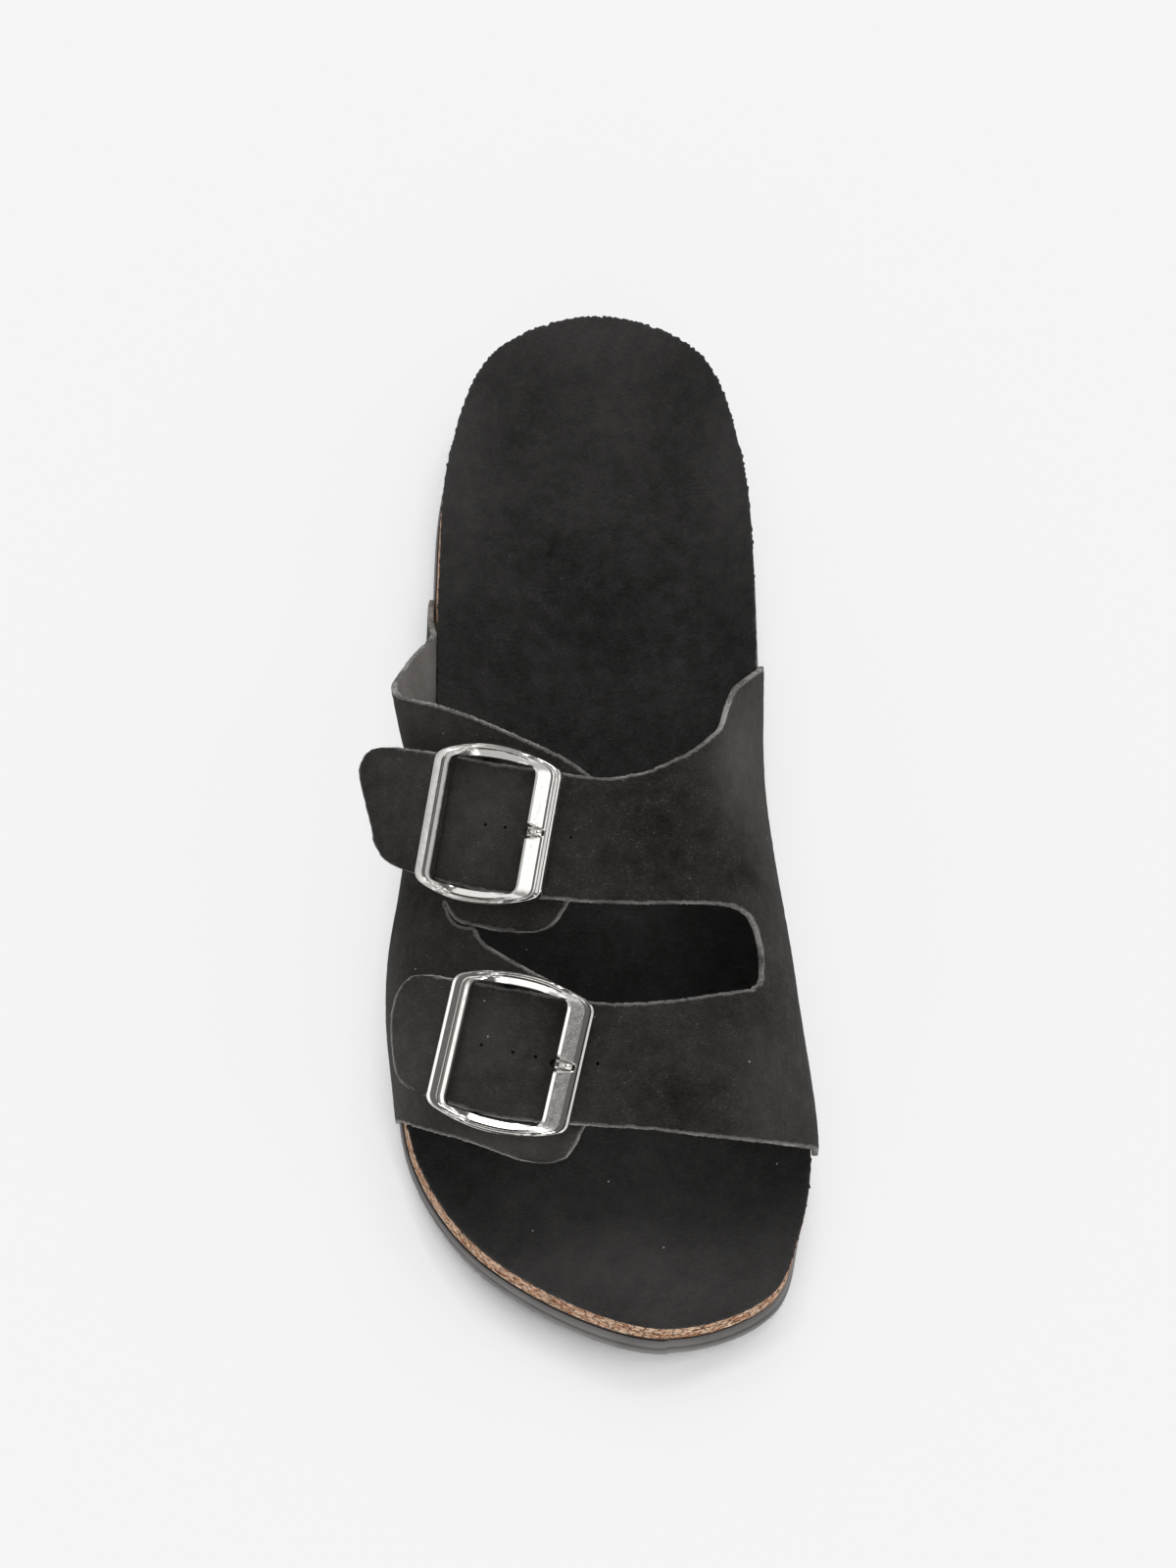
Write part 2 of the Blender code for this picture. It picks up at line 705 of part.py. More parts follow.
def add_object(name, mesh, finish=None, place=None):
    """Object from points in millimetres and faces, with its faces turned outward."""
    points, faces = mesh
    if place:
        points = place(points)
    data = bpy.data.meshes.new(name)
    data.from_pydata((points * MM).tolist(), [], faces)
    if finish:
        data.materials.append(finish)
    shape = bmesh.new()
    shape.from_mesh(data)
    bmesh.ops.recalc_face_normals(shape, faces=shape.faces)
    shape.to_mesh(data)
    shape.free()
    made = bpy.data.objects.new(name, data)
    bpy.context.scene.collection.objects.link(made)
    return made


def combine(target, operation, name, mesh, place=None):
    """Joins a helper solid to an object, or cuts it out."""
    tool = add_object(name, mesh, place=place)
    tool.hide_render = True
    tool.display_type = "WIRE"
    step = target.modifiers.new(name, "BOOLEAN")
    step.operation = operation
    step.solver = "EXACT"
    step.object = tool


def add_buckle(name, spot, upper, finish):
    """Frame and pin of one buckle, and the pin's hole in the strap."""
    place = buckle_place(*spot)
    prong = rod_mesh(prong_path(), PRONG_RADIUS, (0, 1, 0))
    prong_room = rod_mesh(prong_path(PRONG_PLAY), PRONG_RADIUS + PRONG_PLAY, (0, 1, 0))
    axle = rod_mesh(axle_path(LUG_OUTER - LUG_SKIN - GAP), AXLE_RADIUS, (1, 0, 0))
    axle_room = rod_mesh(axle_path(LUG_OUTER - LUG_SKIN), AXLE_RADIUS + GAP, (1, 0, 0))
    lug_low = PRONG_PATH[0][1] - AXLE_RADIUS - 2 * GAP
    lug_high = FRAME_REST + FRAME_HEIGHT / 2
    frame = add_object(f"{name}_frame", frame_mesh(), finish, place)
    for side in ("front", "rear"):
        near, far = (LUG_INNER, LUG_OUTER) if side == "rear" else (-LUG_OUTER, -LUG_INNER)
        corners = ((AXLE_ALONG - LUG_HALF, near, lug_low), (AXLE_ALONG + LUG_HALF, far, lug_high))
        combine(frame, "UNION", f"{name}_{side}_lug", block_mesh(*corners), place)
    combine(frame, "DIFFERENCE", f"{name}_axle_room", axle_room, place)
    combine(frame, "DIFFERENCE", f"{name}_prong_groove", prong_room, place)
    pin = add_object(f"{name}_pin", axle, finish, place)
    combine(pin, "UNION", f"{name}_prong", prong, place)
    combine(upper, "DIFFERENCE", f"{name}_strap_hole", prong_room, place)


def build():
    for old in list(bpy.data.objects):
        bpy.data.objects.remove(old)
    rubber = material("foam rubber", (0.05, 0.05, 0.052), 0.7)
    cork = material("pressed cork", (0.48, 0.31, 0.21), 0.85)
    suede = material("suede", (0.028, 0.027, 0.026), 0.95)
    leather = material("oiled suede", (0.035, 0.034, 0.033), 0.9)
    metal = material("polished metal", (0.75, 0.74, 0.72), 0.15, 1.0)
    add_object("outsole", sole_layer(outsole_levels()), rubber)
    add_object("midsole", sole_layer(cork_levels()), cork)
    add_object("insole", sole_layer(insole_levels()), suede)
    upper = add_object("upper", inner_piece(), leather)
    combine(upper, "UNION", "outer_piece", outer_piece())
    add_buckle("buckle_rear", (REAR_STRAP_FRONT, REAR_STRAP_REAR, *REAR_BUCKLE), upper, metal)
    add_buckle("buckle_front", (FRONT_STRAP_FRONT, FRONT_STRAP_REAR, *FRONT_BUCKLE), upper, metal)


build()
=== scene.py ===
"""Looks of the right-foot buckle mule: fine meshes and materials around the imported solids.

Lengths are millimetres until a mesh is made. X points to the inner side of the foot, Y to the
heel and Z up. The floor is at Z 0.
"""
import bmesh
import bpy
import numpy as np
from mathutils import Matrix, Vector
from mathutils.kdtree import KDTree


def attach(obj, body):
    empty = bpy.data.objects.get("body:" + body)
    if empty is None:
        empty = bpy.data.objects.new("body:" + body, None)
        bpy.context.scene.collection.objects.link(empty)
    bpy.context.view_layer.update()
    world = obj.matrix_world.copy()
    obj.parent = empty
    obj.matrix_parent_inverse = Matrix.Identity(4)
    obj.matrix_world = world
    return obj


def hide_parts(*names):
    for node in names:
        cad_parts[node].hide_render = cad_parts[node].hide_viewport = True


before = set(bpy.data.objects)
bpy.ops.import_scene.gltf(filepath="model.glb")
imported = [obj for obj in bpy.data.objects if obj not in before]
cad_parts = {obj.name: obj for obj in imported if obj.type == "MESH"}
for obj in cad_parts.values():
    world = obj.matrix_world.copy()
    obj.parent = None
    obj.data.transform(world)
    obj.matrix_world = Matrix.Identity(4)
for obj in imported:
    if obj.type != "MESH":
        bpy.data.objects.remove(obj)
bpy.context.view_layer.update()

MM = 0.001
GAP = 0.3  # clearance where two pieces meet

# Sole
OUTSOLE = 9.0
INSOLE = 1.5
SPRING_FROM = -60.0  # y where the sole starts to lift off the floor
SPRING_RUN = 64.0
SPRING_RISE = 7.0
TOE_FROM = -98.0  # y where the outsole's foot starts to spread
TOE_RUN = 22.0
TOE_SPREAD = 1.0
TUCK = (-92.0, 24.0, 1.1)  # where the outsole is cut in beside the big toe: y, half length, depth
SPREAD_DEPTH = 3.5  # depth under the outsole's top where the spread is full
SOLE_STATIONS = 420
SOLE_ACROSS = 72
TREAD_ACROSS = 116
HIDDEN_ACROSS = 8
INSOLE_FUZZ = 0.17  # unevenness of the insole's cut edge
CORK_LEVELS = 9
CORK_PITS = 0.1  # unevenness of the cork's side
TREAD_PITCH = 7.5
TREAD_WAVE = (2.4, 15.0)  # swing of a groove, and its length
TREAD_GROOVE = (1.3, 1.2)  # half width, depth
TREAD_RIM = (4.5, 6.5)  # plain border: width, and where the grooves have their full depth

# Upper
LEATHER = 1.5
FUSED = 0.5  # depth that a strap shares with the tab end under it
INNER_FULLNESS = 2.8  # exponent of the inner side's section, 2 is an ellipse
STRAP_COLUMNS = 170
PANEL_COLUMNS = 70
STRAP_ROWS = 32
FORK_STEPS = 6
NAP = 0.035  # unevenness of the suede's face
EDGE_FUZZ = 0.07  # unevenness of its cut edges

# Buckles
REAR_BUCKLE = (62.4, 0.0, 0.92, 0.5)  # angle of its middle, turn in degrees, tail stretch, shift
FRONT_BUCKLE = (69.0, 4.5, 1.04, 0.0)
BUCKLE_CURVE = 90.0  # radius that the frame is bent to, along the strap
FRAME_OUTSIDE = (16.4, 16.0, 14.6, 3.9, 4.0)  # to its prong end, tail end, sides; bow of sides, corner
FRAME_OPENING = (10.3, 11.5, 14.3, 0.9, 4.4)
FRAME_REST = 0.8  # clear height under the frame at its middle
FRAME_HEIGHT = 3.2
AXLE_RADIUS = 0.9
AXLE_ALONG = -5.0  # place of the axle along the strap
AXLE_HALF = 16.2
PRONG_RADIUS = 0.8
PRONG_PLAY = 0.12
HOLE_RADIUS = 0.42
HOLE_REACH = (-2.2, 2.0)  # a free hole's ends, from the strap's face
LUG_INNER = 15.0
LUG_OUTER = 17.7
LUG_HALF = 2.0

OUTLINE = (  # edge of the insole: x, y, from the heel's back round the outer side
    (0, 125.8), (-24.8, 116.4), (-35.3, 90.4), (-37.7, 57), (-38.3, 20), (-41.6, -20),
    (-45.2, -58), (-41.3, -84), (-25, -106.3), (14, -124), (39.6, -116), (46.3, -102),
    (49.5, -82), (43.5, -42), (37.2, 2), (37.9, 45), (34.9, 90.4), (24.7, 116.4),
)
FOOTBED = (  # y, height of outer rim, inner rim, seat, width of the rim's slope
    (-124, 23, 23, 21, 12),
    (-105, 20.5, 20.5, 18.5, 13),
    (-80, 19.5, 20, 17, 14),
    (-50, 20.5, 21.5, 18, 16),
    (-20, 23, 27, 20, 20),
    (15, 26.5, 32, 20, 23),
    (50, 28.5, 31.5, 19.5, 23),
    (90, 30, 30.5, 19.5, 22),
    (125.5, 31.5, 31.5, 21, 20),
)
PADS = (  # raised places of the footbed: x, y, half width, half length, height
    (27, 12, 14, 32, 4),
    (-2, -26, 14, 15, 2.2),
    (0, -78, 26, 7, 1.6),
)
FLARE = (  # how far the cork's foot stands out: y, outer side, inner side
    (-124, 1.2, 1), (-108, 0.9, 0.1), (-95, 0.7, -0.3), (-85, 0.7, 0.1),
    (-65, 0.8, 0.8), (-40, 1, 1.7), (0, 1.2, 1.5), (20, 1.2, 0.8),
    (38, 1.2, 0.4), (60, 1.2, 0.3), (125.5, 0.8, 0.6),
)
INSOLE_EDGE = (  # depth under the insole's top, distance in from its edge
    (0, 0.9), (0.06, 0.5), (0.22, 0.2), (0.5, 0.03), (0.9, 0),
)
OUTSOLE_SIDE = (  # depth under the outsole's top, distance out from the cork's foot
    (0, 0.1), (0.12, 0.38), (0.3, 0.6), (0.7, 0.8), (2.2, 0.95), (2.45, 0.85), (2.65, 0.5),
    (3.2, 0.5), (3.4, 0.85), (3.7, 1), (5.5, 0.95), (7.6, 0.8), (8.3, 0.6), (8.8, 0.2),
)
LAST = (  # y, crown x, crown z, top flare, side bulge, side fullness
    (-100, 9, 42, 0, 0, 2.2),
    (-80, 9, 47.5, 0, 0.7, 2.2),
    (-60, 9, 53, 0, 4.3, 2.2),
    (-35, 8.5, 59.5, 0, 6.6, 2.15),
    (-20, 8, 63, 0, 5.7, 2.1),
    (0, 7.5, 68.5, 3.5, 3.3, 2.1),
    (12, 7, 71.8, 10.3, 1.8, 2.1),
    (20, 6.5, 73.8, 14, 0.6, 2.1),
    (26, 6, 75.2, 16, 0, 2.1),
    (33, 5.8, 76.4, 17.5, 0, 2.1),
    (40, 5.5, 77.5, 17, 0, 2.1),
    (60, 5, 80, 0, 0, 2.1),
)
FLARE_ANGLES = (15.0, 62.0)  # where the top flare starts and ends
BULGE_END = 60.0  # angle where the side bulge ends
STRAP_SPLIT = -40.0  # y between the two straps
FRONT_STRAP = (80.0, 1.9, 3.2)  # reach past the crown, fullness of its section, lift at the buckle
REAR_STRAP = (80.0, 1.6, 3.2)
LIFT_SHAPE = (  # angle, share of the sunk tab's height, share of the strap lift
    (30, 1, 0.3), (40, 1, 0.7), (50, 1, 1), (68, 1, 1), (73, 1, 0.75),
    (78, 1, 0.15), (81, 1, 0), (86, 0.95, 0), (102, 0, 0), (180, 0, 0),
)

# Edges of the inner piece and its straps: angle, y
FRONT_STRAP_FRONT = (
    (46, -72.5), (53.5, -75), (65.5, -80.5), (80, -83), (90, -84), (99, -85),
    (114, -85.6), (136, -85.2), (157, -83.5), (180, -80),
)
FRONT_STRAP_REAR = (
    (46, -45.5), (53, -47.5), (62, -50.5), (72, -53.5), (82.5, -56.3), (88, -56.6),
    (95, -56), (106, -54.5), (127, -51.5),
)
REAR_STRAP_FRONT = (
    (36, -16.2), (44.5, -21.5), (49.5, -24), (58.5, -29), (67, -32), (80.5, -34.5),
    (90, -35), (102, -34.6), (120, -34),
)
REAR_STRAP_REAR = (
    (36, 10.3), (44, 7), (54.5, 2.5), (63.5, -1.5), (73, -4.6), (84, -6.9), (90.5, -6.2),
    (98, -3.7), (110, 0.4), (119, 4.4), (125, 7.6), (128.5, 11.5), (134, 16.8), (142, 21),
    (153, 26), (166, 32.5), (180, 41),
)
CUTOUT_END = (
    (127, -51.5), (131.6, -49.2), (133.8, -44.5), (133.6, -40.5), (131.4, -36.8), (127, -34.6),
    (120, -34),
)

# Edges of the outer piece and its tabs: angle, y
OUTER_FRONT = (
    (0, -72), (18.5, -75.7), (32, -80), (46.5, -84.6), (58, -88.9), (66, -91.5),
    (87, -95.5),
)
OUTER_REAR = (
    (0, 60), (3, 57), (7, 52), (14, 45), (21, 37.5), (27, 29.5), (36, 21),
    (47, 14.5), (59, 5.5), (68, 1), (76, -3.2), (82, -7.4), (87, -10.5),
)
FRONT_TAB_REAR = (
    (43.5, -30), (45.3, -33.6), (47, -35.5), (49, -36.5), (51.5, -37.5), (52.6, -39.5),
    (54, -41), (57, -43), (64, -47), (71.5, -51), (77, -54), (81, -56.2),
    (87, -60),
)
REAR_TAB_FRONT = (
    (43.5, -30), (45.3, -33), (47, -34.9), (49, -36), (52, -37), (56.5, -38.5),
    (62, -39.6), (68, -40.8), (87, -44),
)
NOTCH_END = ((43.5, -30.0),)

# Ends of the straps and tabs: share across from the front edge, angle of front one, of rear one
STRAP_ENDS = (
    (0, 54.5, 49.5), (0.015, 51.9, 46.4), (0.04, 50.2, 44), (0.12, 48.3, 41.6),
    (0.3, 47.2, 40.2), (0.5, 46.9, 38.9), (0.7, 47.4, 37.7), (0.86, 49, 38.5),
    (0.94, 50.7, 40.2), (0.98, 52.6, 42.4), (1, 55.5, 46),
)
TAB_ENDS = (
    (0, 60, 63), (0.015, 65, 67.2), (0.035, 68.8, 69.8), (0.06, 71.6, 71.6), (0.1, 74, 73),
    (0.15, 75.8, 74.3), (0.25, 78.2, 76.5), (0.5, 84.5, 83), (0.75, 87, 86), (1, 87, 86),
)
CUT_EDGE = (  # depth through the leather from outside, 1, to inside, 0; distance out from the edge
    (1, -0.32), (0.93, -0.1), (0.75, 0), (0.3, 0), (0.08, -0.1), (0, -0.3),
)
CREASES = (  # soft dents in the straps: angle, y, half length across, half length along, depth
    (126, -25, 7, 7, 0.4),
    (104, -22, 12, 7, 0.3),
    (114, -14, 9, 6, -0.3),
    (126, -57, 7, 7, 0.4),
    (102, -76, 8, 7, 0.35),
    (114, -68, 10, 7, -0.3),
)
INSOLE_PAINTED_LIGHT = (  # painted light and shade, paler and darker places where sheen, light and shade fall: x, y, half width, half length, change of shade
    (0, 123, 34, 10, 0.48),
    (-34, 92, 9, 30, 0.34),
    (34, 92, 8, 30, 0.3),
    (4, 92, 12, 22, 0.1),
    (0, 45, 26, 34, -0.12),
    (-4, -8, 30, 20, -0.04),
    (6, -108, 44, 17, 0.44),
)
UPPER_PAINTED_LIGHT = (  # the same painted light and shade for the upper, with painted shade in the straps' dents
    (14, -20, 9, 18, -0.2),
    (33, -25, 6, 7, -0.14),
    (33, -56, 6, 7, -0.16),
    (14, -76, 8, 8, -0.12),
    (33, 2, 6, 15, 0.42),
    (38, -70, 9, 16, 0.22),
    (-50, -66, 16, 22, 0.4),
    (-40, 14, 12, 14, 0.14),
    (-24, -66, 14, 22, 0.16),
    (-24, -88, 22, 6, 0.7),
    (-28, -12, 12, 16, 0.16),
    (-44, -36, 6, 18, -0.12),
)
REAR_HOLES = ((-0.5, 0.0), (4.4, 0.1), (19.2, 0.3))  # free holes: distance along the strap, across
FRONT_HOLES = ((-6.9, 0.5), (0.2, 0.4), (5.4, 0.6), (19.2, 2.2))
PRONG_PATH = (  # distance along the strap, height over its face
    (AXLE_ALONG, -3.0),
    (3, -2.9),
    (8.8, -1.9),
    (10.8, 0.5),
    (11.8, 2.1),
    (13.1, 3),
    (14.5, 3.2),
)
FRAME_SECTION = (  # share across from the opening and of height, at the tail's bar, prong's bar and bows
    (0, 0.15, 0, 0.15, 0, 0.15),
    (0.06, 0, 0.06, 0, 0.06, 0),
    (0.94, 0, 0.94, 0, 0.94, 0),
    (1, 0.12, 1, 0.12, 1, 0.12),
    (1, 0.62, 1, 0.5, 1, 0.55),
    (0.985, 0.82, 0.98, 0.62, 0.99, 0.7),
    (0.95, 0.94, 0.94, 0.7, 0.95, 0.8),
    (0.92, 0.97, 0.91, 0.72, 0.91, 0.8),
    (0.8, 1, 0.86, 0.925, 0.88, 0.76),
    (0.65, 1, 0.82, 0.915, 0.84, 0.95),
    (0.5, 1, 0.76, 0.885, 0.79, 1),
    (0.465, 0.83, 0.67, 0.87, 0.7, 1),
    (0.4, 0.81, 0.54, 0.81, 0.65, 0.95),
    (0.32, 0.82, 0.41, 0.755, 0.58, 0.8),
    (0.285, 0.9, 0.27, 0.7, 0.51, 0.72),
    (0.19, 0.928, 0.14, 0.645, 0.47, 0.7),
    (0.11, 0.95, 0.09, 0.595, 0.27, 0.6),
    (0.04, 0.94, 0.03, 0.538, 0.08, 0.51),
    (0.015, 0.87, 0.01, 0.5, 0.04, 0.5),
    (0, 0.7, 0, 0.42, 0, 0.42),
)
FACET_BANDS = range(11, 15)  # bands of the section that make the prong bar's slope
BOW_RUN = (4.0, 12.0)  # distance along the strap where the bows' form starts and ends to change
NOTCH_HALF = (2.3, 0.9)  # half width of the prong's notch at the opening, at the ridge
NOTCH_REACH = 0.74  # share across the bar where the notch ends
NOTCH_DEPTH = 0.5
NOTCH_FLOOR = 0.2

# Floor, light and camera
FLOOR_RADIUS = 30.0  # metres
FLOOR_GLOW = 0.81
SHADOW_REACH = 15.0  # distance at which the close shadow ends
SHADOW_LEAN = (0.15, 0.5, 0.85)  # direction in which the floor looks for what shades it
SHADOW_FALLOFF = 4.5
SHADOW_DEPTH = 1.48
SUNS = (  # name, direction toward it, strength, spread in degrees
    ("heel_side", (0.1, 0.75, 1.0), 1.1, 35.0),
    ("inner_side", (1.0, -0.3, 0.9), 0.25, 50.0),
)
SKY = (0.45, 0.88, 0.60, 0.14)  # upward part of a direction, low and high, and the light there
PANELS = (  # axis, whether on both sides, where it starts and is full, the same upward, strength
    ("X", True, 0.70, 0.78, 0.48, 0.58, 1.0),
    ("Y", False, -0.60, -0.72, 0.25, 0.40, 1.0),
    ("Y", False, 0.50, 0.65, 0.35, 0.50, 0.5),
)
CAMERA_TARGET = (-2.0, 8.5, 20.0)
CAMERA_ELEVATION = 70.0
CAMERA_DISTANCE = 1150.0
CAMERA_SENSOR = 36.0
CAMERA_LENS = 111.3


def hermite(t, start, end, start_slope, end_slope):
    """Cubic from start to end with given slopes, for t from 0 to 1."""
    left = (1 + 2 * t) * (1 - t) ** 2 * start + t * (1 - t) ** 2 * start_slope
    right = t * t * (3 - 2 * t) * end - t * t * (1 - t) * end_slope
    return left + right


def smooth(rows, column):
    """Smooth curve through one column of a table, read against its first column."""
    place = np.array([row[0] for row in rows], float)
    value = np.array([row[column] for row in rows], float)
    slope = np.gradient(value, place)

    def read(at):
        at = np.clip(at, place[0], place[-1])
        i = np.clip(np.searchsorted(place, at) - 1, 0, len(place) - 2)
        run = place[i + 1] - place[i]
        t = (at - place[i]) / run
        return hermite(t, value[i], value[i + 1], run * slope[i], run * slope[i + 1])

    return read


def closed_curve(points, steps=40):
    """Centripetal curve through a closed ring of points."""
    ring = np.array(points, float)
    count = len(ring)
    share = np.linspace(0, 1, steps, endpoint=False)[:, None]
    runs = []
    for k in range(count):
        p0, p1, p2, p3 = (ring[(k + i) % count] for i in (-1, 0, 1, 2))
        d1, d2, d3 = (np.linalg.norm(step) ** 0.5 for step in (p1 - p0, p2 - p1, p3 - p2))
        start = p2 - p1 + d2 * ((p1 - p0) / d1 - (p2 - p0) / (d1 + d2))
        end = p2 - p1 + d2 * ((p3 - p2) / d3 - (p3 - p1) / (d2 + d3))
        runs.append(hermite(share, p1, p2, start, end))
    return np.vstack(runs)


def open_curve(points, steps):
    """Smooth curve through a row of points, with its two ends kept."""
    points = np.array(points, float)
    slope = np.gradient(points, axis=0)
    share = np.linspace(0, 1, steps, endpoint=False)[:, None]
    runs = [
        hermite(share, points[k], points[k + 1], slope[k], slope[k + 1])
        for k in range(len(points) - 1)
    ]
    return np.vstack([*runs, points[-1:]])


def step(low, high, value):
    """Smooth change from 0 at low to 1 at high."""
    t = np.clip((value - low) / (high - low), 0, 1)
    return t * t * (3 - 2 * t)


def ripple(run, seed):
    """Unevenness along a run of points, different for each seed."""
    return np.random.default_rng(seed).normal(0, 1, len(run))


def outline_sides():
    """Outer and inner side of the insole's edge, each from the heel's back to the toe's tip."""
    edge = closed_curve(OUTLINE)
    edge = np.roll(edge, -edge[:, 1].argmax(), axis=0)
    toe = edge[:, 1].argmin()
    outer = edge[: toe + 1]
    inner = np.vstack([edge[:1], edge[: toe - 1 : -1]])
    return edge, outer, inner


EDGE, OUTER_SIDE, INNER_SIDE = outline_sides()
OUTER_RIM, INNER_RIM, SEAT, RIM_SLOPE = (smooth(FOOTBED, column) for column in (1, 2, 3, 4))
OUTER_FLARE, INNER_FLARE = (smooth(FLARE, column) for column in (1, 2))
CROWN_X, CROWN_Z, TOP_FLARE, SIDE_BULGE, SIDE_FULLNESS = (smooth(LAST, column) for column in range(1, 6))
SUNK_SHARE, LIFT_SHARE = (smooth(LIFT_SHAPE, column) for column in (1, 2))


class Shape:
    """Points and faces of one mesh while it grows; each face has the number of its finish."""

    def __init__(self):
        self.points = []
        self.faces = []
        self.finish = []

    def add(self, points):
        start = len(self.points)
        self.points.extend(points)
        return list(range(start, start + len(points)))

    def face(self, corners, finish):
        self.faces.append(list(dict.fromkeys(corners)))
        self.finish.append(finish)

    def grid(self, rows, finish=0):
        for row, after in zip(rows, rows[1:]):
            for k in range(len(row) - 1):
                self.face((row[k], after[k], after[k + 1], row[k + 1]), finish)

    def band(self, ring, after, finish=0):
        for k in range(len(ring)):
            n = (k + 1) % len(ring)
            self.face((ring[k], after[k], after[n], ring[n]), finish)


def edge_x(side, y):
    """X of the insole's edge on one of its sides."""
    return np.interp(y, side[::-1, 1], side[::-1, 0])


def spring(y):
    """Lift of the sole's underside off the floor."""
    return SPRING_RISE * np.clip((SPRING_FROM - y) / SPRING_RUN, 0, None) ** 2


def inset(points):
    """Distance in from the insole's edge."""
    return np.linalg.norm(points[:, None, :] - EDGE[None], axis=2).min(axis=1)


def footbed(points, share):
    """Height of the insole's top; share runs from the outer edge to the inner one."""
    x, y = points[:, 0], points[:, 1]
    rim = OUTER_RIM(y) + (INNER_RIM(y) - OUTER_RIM(y)) * share
    floor = SEAT(y)
    for pad_x, pad_y, width, length, height in PADS:
        floor = floor + height * np.exp(-(((x - pad_x) / width) ** 2) - ((y - pad_y) / length) ** 2)
    wall = np.clip(1 - inset(points) / RIM_SLOPE(y), 0, 1) ** 2
    return floor + (rim - floor) * wall


def under_footbed(depth):
    """Height function of a face that lies under the insole's top."""
    return lambda points, share: footbed(points, share) - depth


def cork_level(share_down):
    """Height function of a line on the cork's side, 0 at its top and 1 at its foot."""

    def height(points, share):
        top = footbed(points, share) - INSOLE - GAP
        foot = spring(points[:, 1]) + OUTSOLE + GAP
        return top + (foot - top) * share_down

    return height


def outsole_level(depth):
    """Height function of a line on the outsole's side, by its depth under the top."""
    return lambda points, share: spring(points[:, 1]) + OUTSOLE - depth


def tread(points, share):
    """Height of the outsole's underside with its waved grooves."""
    x, y = points[:, 0], points[:, 1]
    swing, length = TREAD_WAVE
    line = (y + swing * np.sin(2 * np.pi * x / length)) / TREAD_PITCH
    away = np.abs((line + 0.5) % 1 - 0.5) * TREAD_PITCH
    half, depth = TREAD_GROOVE
    groove = 1 - step(half - 0.7, half, away)
    return spring(y) + depth * groove * step(*TREAD_RIM, inset(points))


def station_points(side, offset):
    """Points of one side at the sole's stations, moved out by offset(y, run along the edge)."""
    turn = np.linspace(0, np.pi, SOLE_STATIONS + 1)
    top, low = EDGE[:, 1].max(), EDGE[:, 1].min()
    y = low + (top - low) * (1 + np.cos(turn)) / 2
    run = np.gradient(side, axis=0)
    out = np.stack([run[:, 1], -run[:, 0]], axis=1)
    out /= np.linalg.norm(out, axis=1, keepdims=True)
    out *= np.sign(out[len(out) // 2, 0] * side[len(side) // 2, 0])
    out[0] = (0, 1)
    out[-1] = (0, -1)
    place = -side[:, 1]
    point = np.stack([np.interp(-y, place, side[:, k]) for k in (0, 1)], axis=1)
    normal = np.stack([np.interp(-y, place, out[:, k]) for k in (0, 1)], axis=1)
    travel = np.concatenate([[0], np.cumsum(np.linalg.norm(np.diff(point, axis=0), axis=1))])
    return point + normal * offset(y, travel)[:, None]


def level_grid(level, across):
    """Points of a sole level, station by station from the outer edge to the inner one."""
    outer_offset, inner_offset, height = level
    outer = station_points(OUTER_SIDE, outer_offset)
    inner = station_points(INNER_SIDE, inner_offset)
    share = (1 - np.cos(np.linspace(0, np.pi, across + 1))) / 2
    grid = []
    for start, end in zip(outer, inner):
        flat = start + (end - start) * share[:, None]
        grid.append(np.column_stack([flat, height(flat, share)]))
    return np.array(grid)


def sole_layer(levels, top_across, under_across, shadow_bands=0):
    """Closed shape of a sole layer: a grid on top, rings down its side and a grid below.

    The first bands of the side, as many as shadow_bands, have finish 1, a band of painted shadow.
    """
    shape = Shape()

    def add_grid(grid):
        width = grid.shape[1]
        index = [shape.add([grid[0][width // 2]]) * width]
        index += [shape.add(row) for row in grid[1:-1]]
        index += [shape.add([grid[-1][width // 2]]) * width]
        return index

    def rim(rows):
        middle = len(rows[0]) // 2
        outer = [row[0] for row in rows[1:-1]]
        inner = [row[-1] for row in rows[1:-1]]
        return [rows[0][middle], *outer, rows[-1][middle], *reversed(inner)]

    top = add_grid(level_grid(levels[0], top_across))
    rings = [rim(top)]
    rings += [shape.add(rim(level_grid(level, 2))) for level in levels[1:-1]]
    under = add_grid(level_grid(levels[-1], under_across))
    rings.append(rim(under))
    shape.grid(top)
    shape.grid(under)
    for k, (ring, after) in enumerate(zip(rings, rings[1:])):
        shape.band(ring, after, 1 if k < shadow_bands else 0)
    return shape


def beyond(flare, share, extra=0.0, rough=0.0, seed=0):
    """Offset function: a share of the cork's flare, a fixed distance and some unevenness."""
    return lambda y, run: flare(y) * share + extra + rough * ripple(run, seed)


def tucked_flare(y):
    """How far the outsole follows the cork's foot out on the inner side."""
    middle, half, depth = TUCK
    return INNER_FLARE(y) - depth * np.exp(-(((y - middle) / half) ** 2))


def outsole_offset(flare, depth, out):
    """Offset function of a line on the outsole's side, which spreads at the toe."""
    spread = TOE_SPREAD * min(depth / SPREAD_DEPTH, 1.0)
    return lambda y, run: flare(y) + out + spread * np.clip((TOE_FROM - y) / TOE_RUN, 0, 1)


def insole_shape():
    """Insole cover with an uneven cut edge."""
    levels = []
    for depth, back in INSOLE_EDGE:
        rough = INSOLE_FUZZ * (1 - back)
        levels.append((
            beyond(OUTER_FLARE, 0.0, -back, rough, 1),
            beyond(INNER_FLARE, 0.0, -back, rough, 2),
            under_footbed(depth),
        ))
    foot = beyond(OUTER_FLARE, 0.0)
    levels.append((foot, foot, under_footbed(INSOLE)))
    return sole_layer(levels, SOLE_ACROSS, HIDDEN_ACROSS)


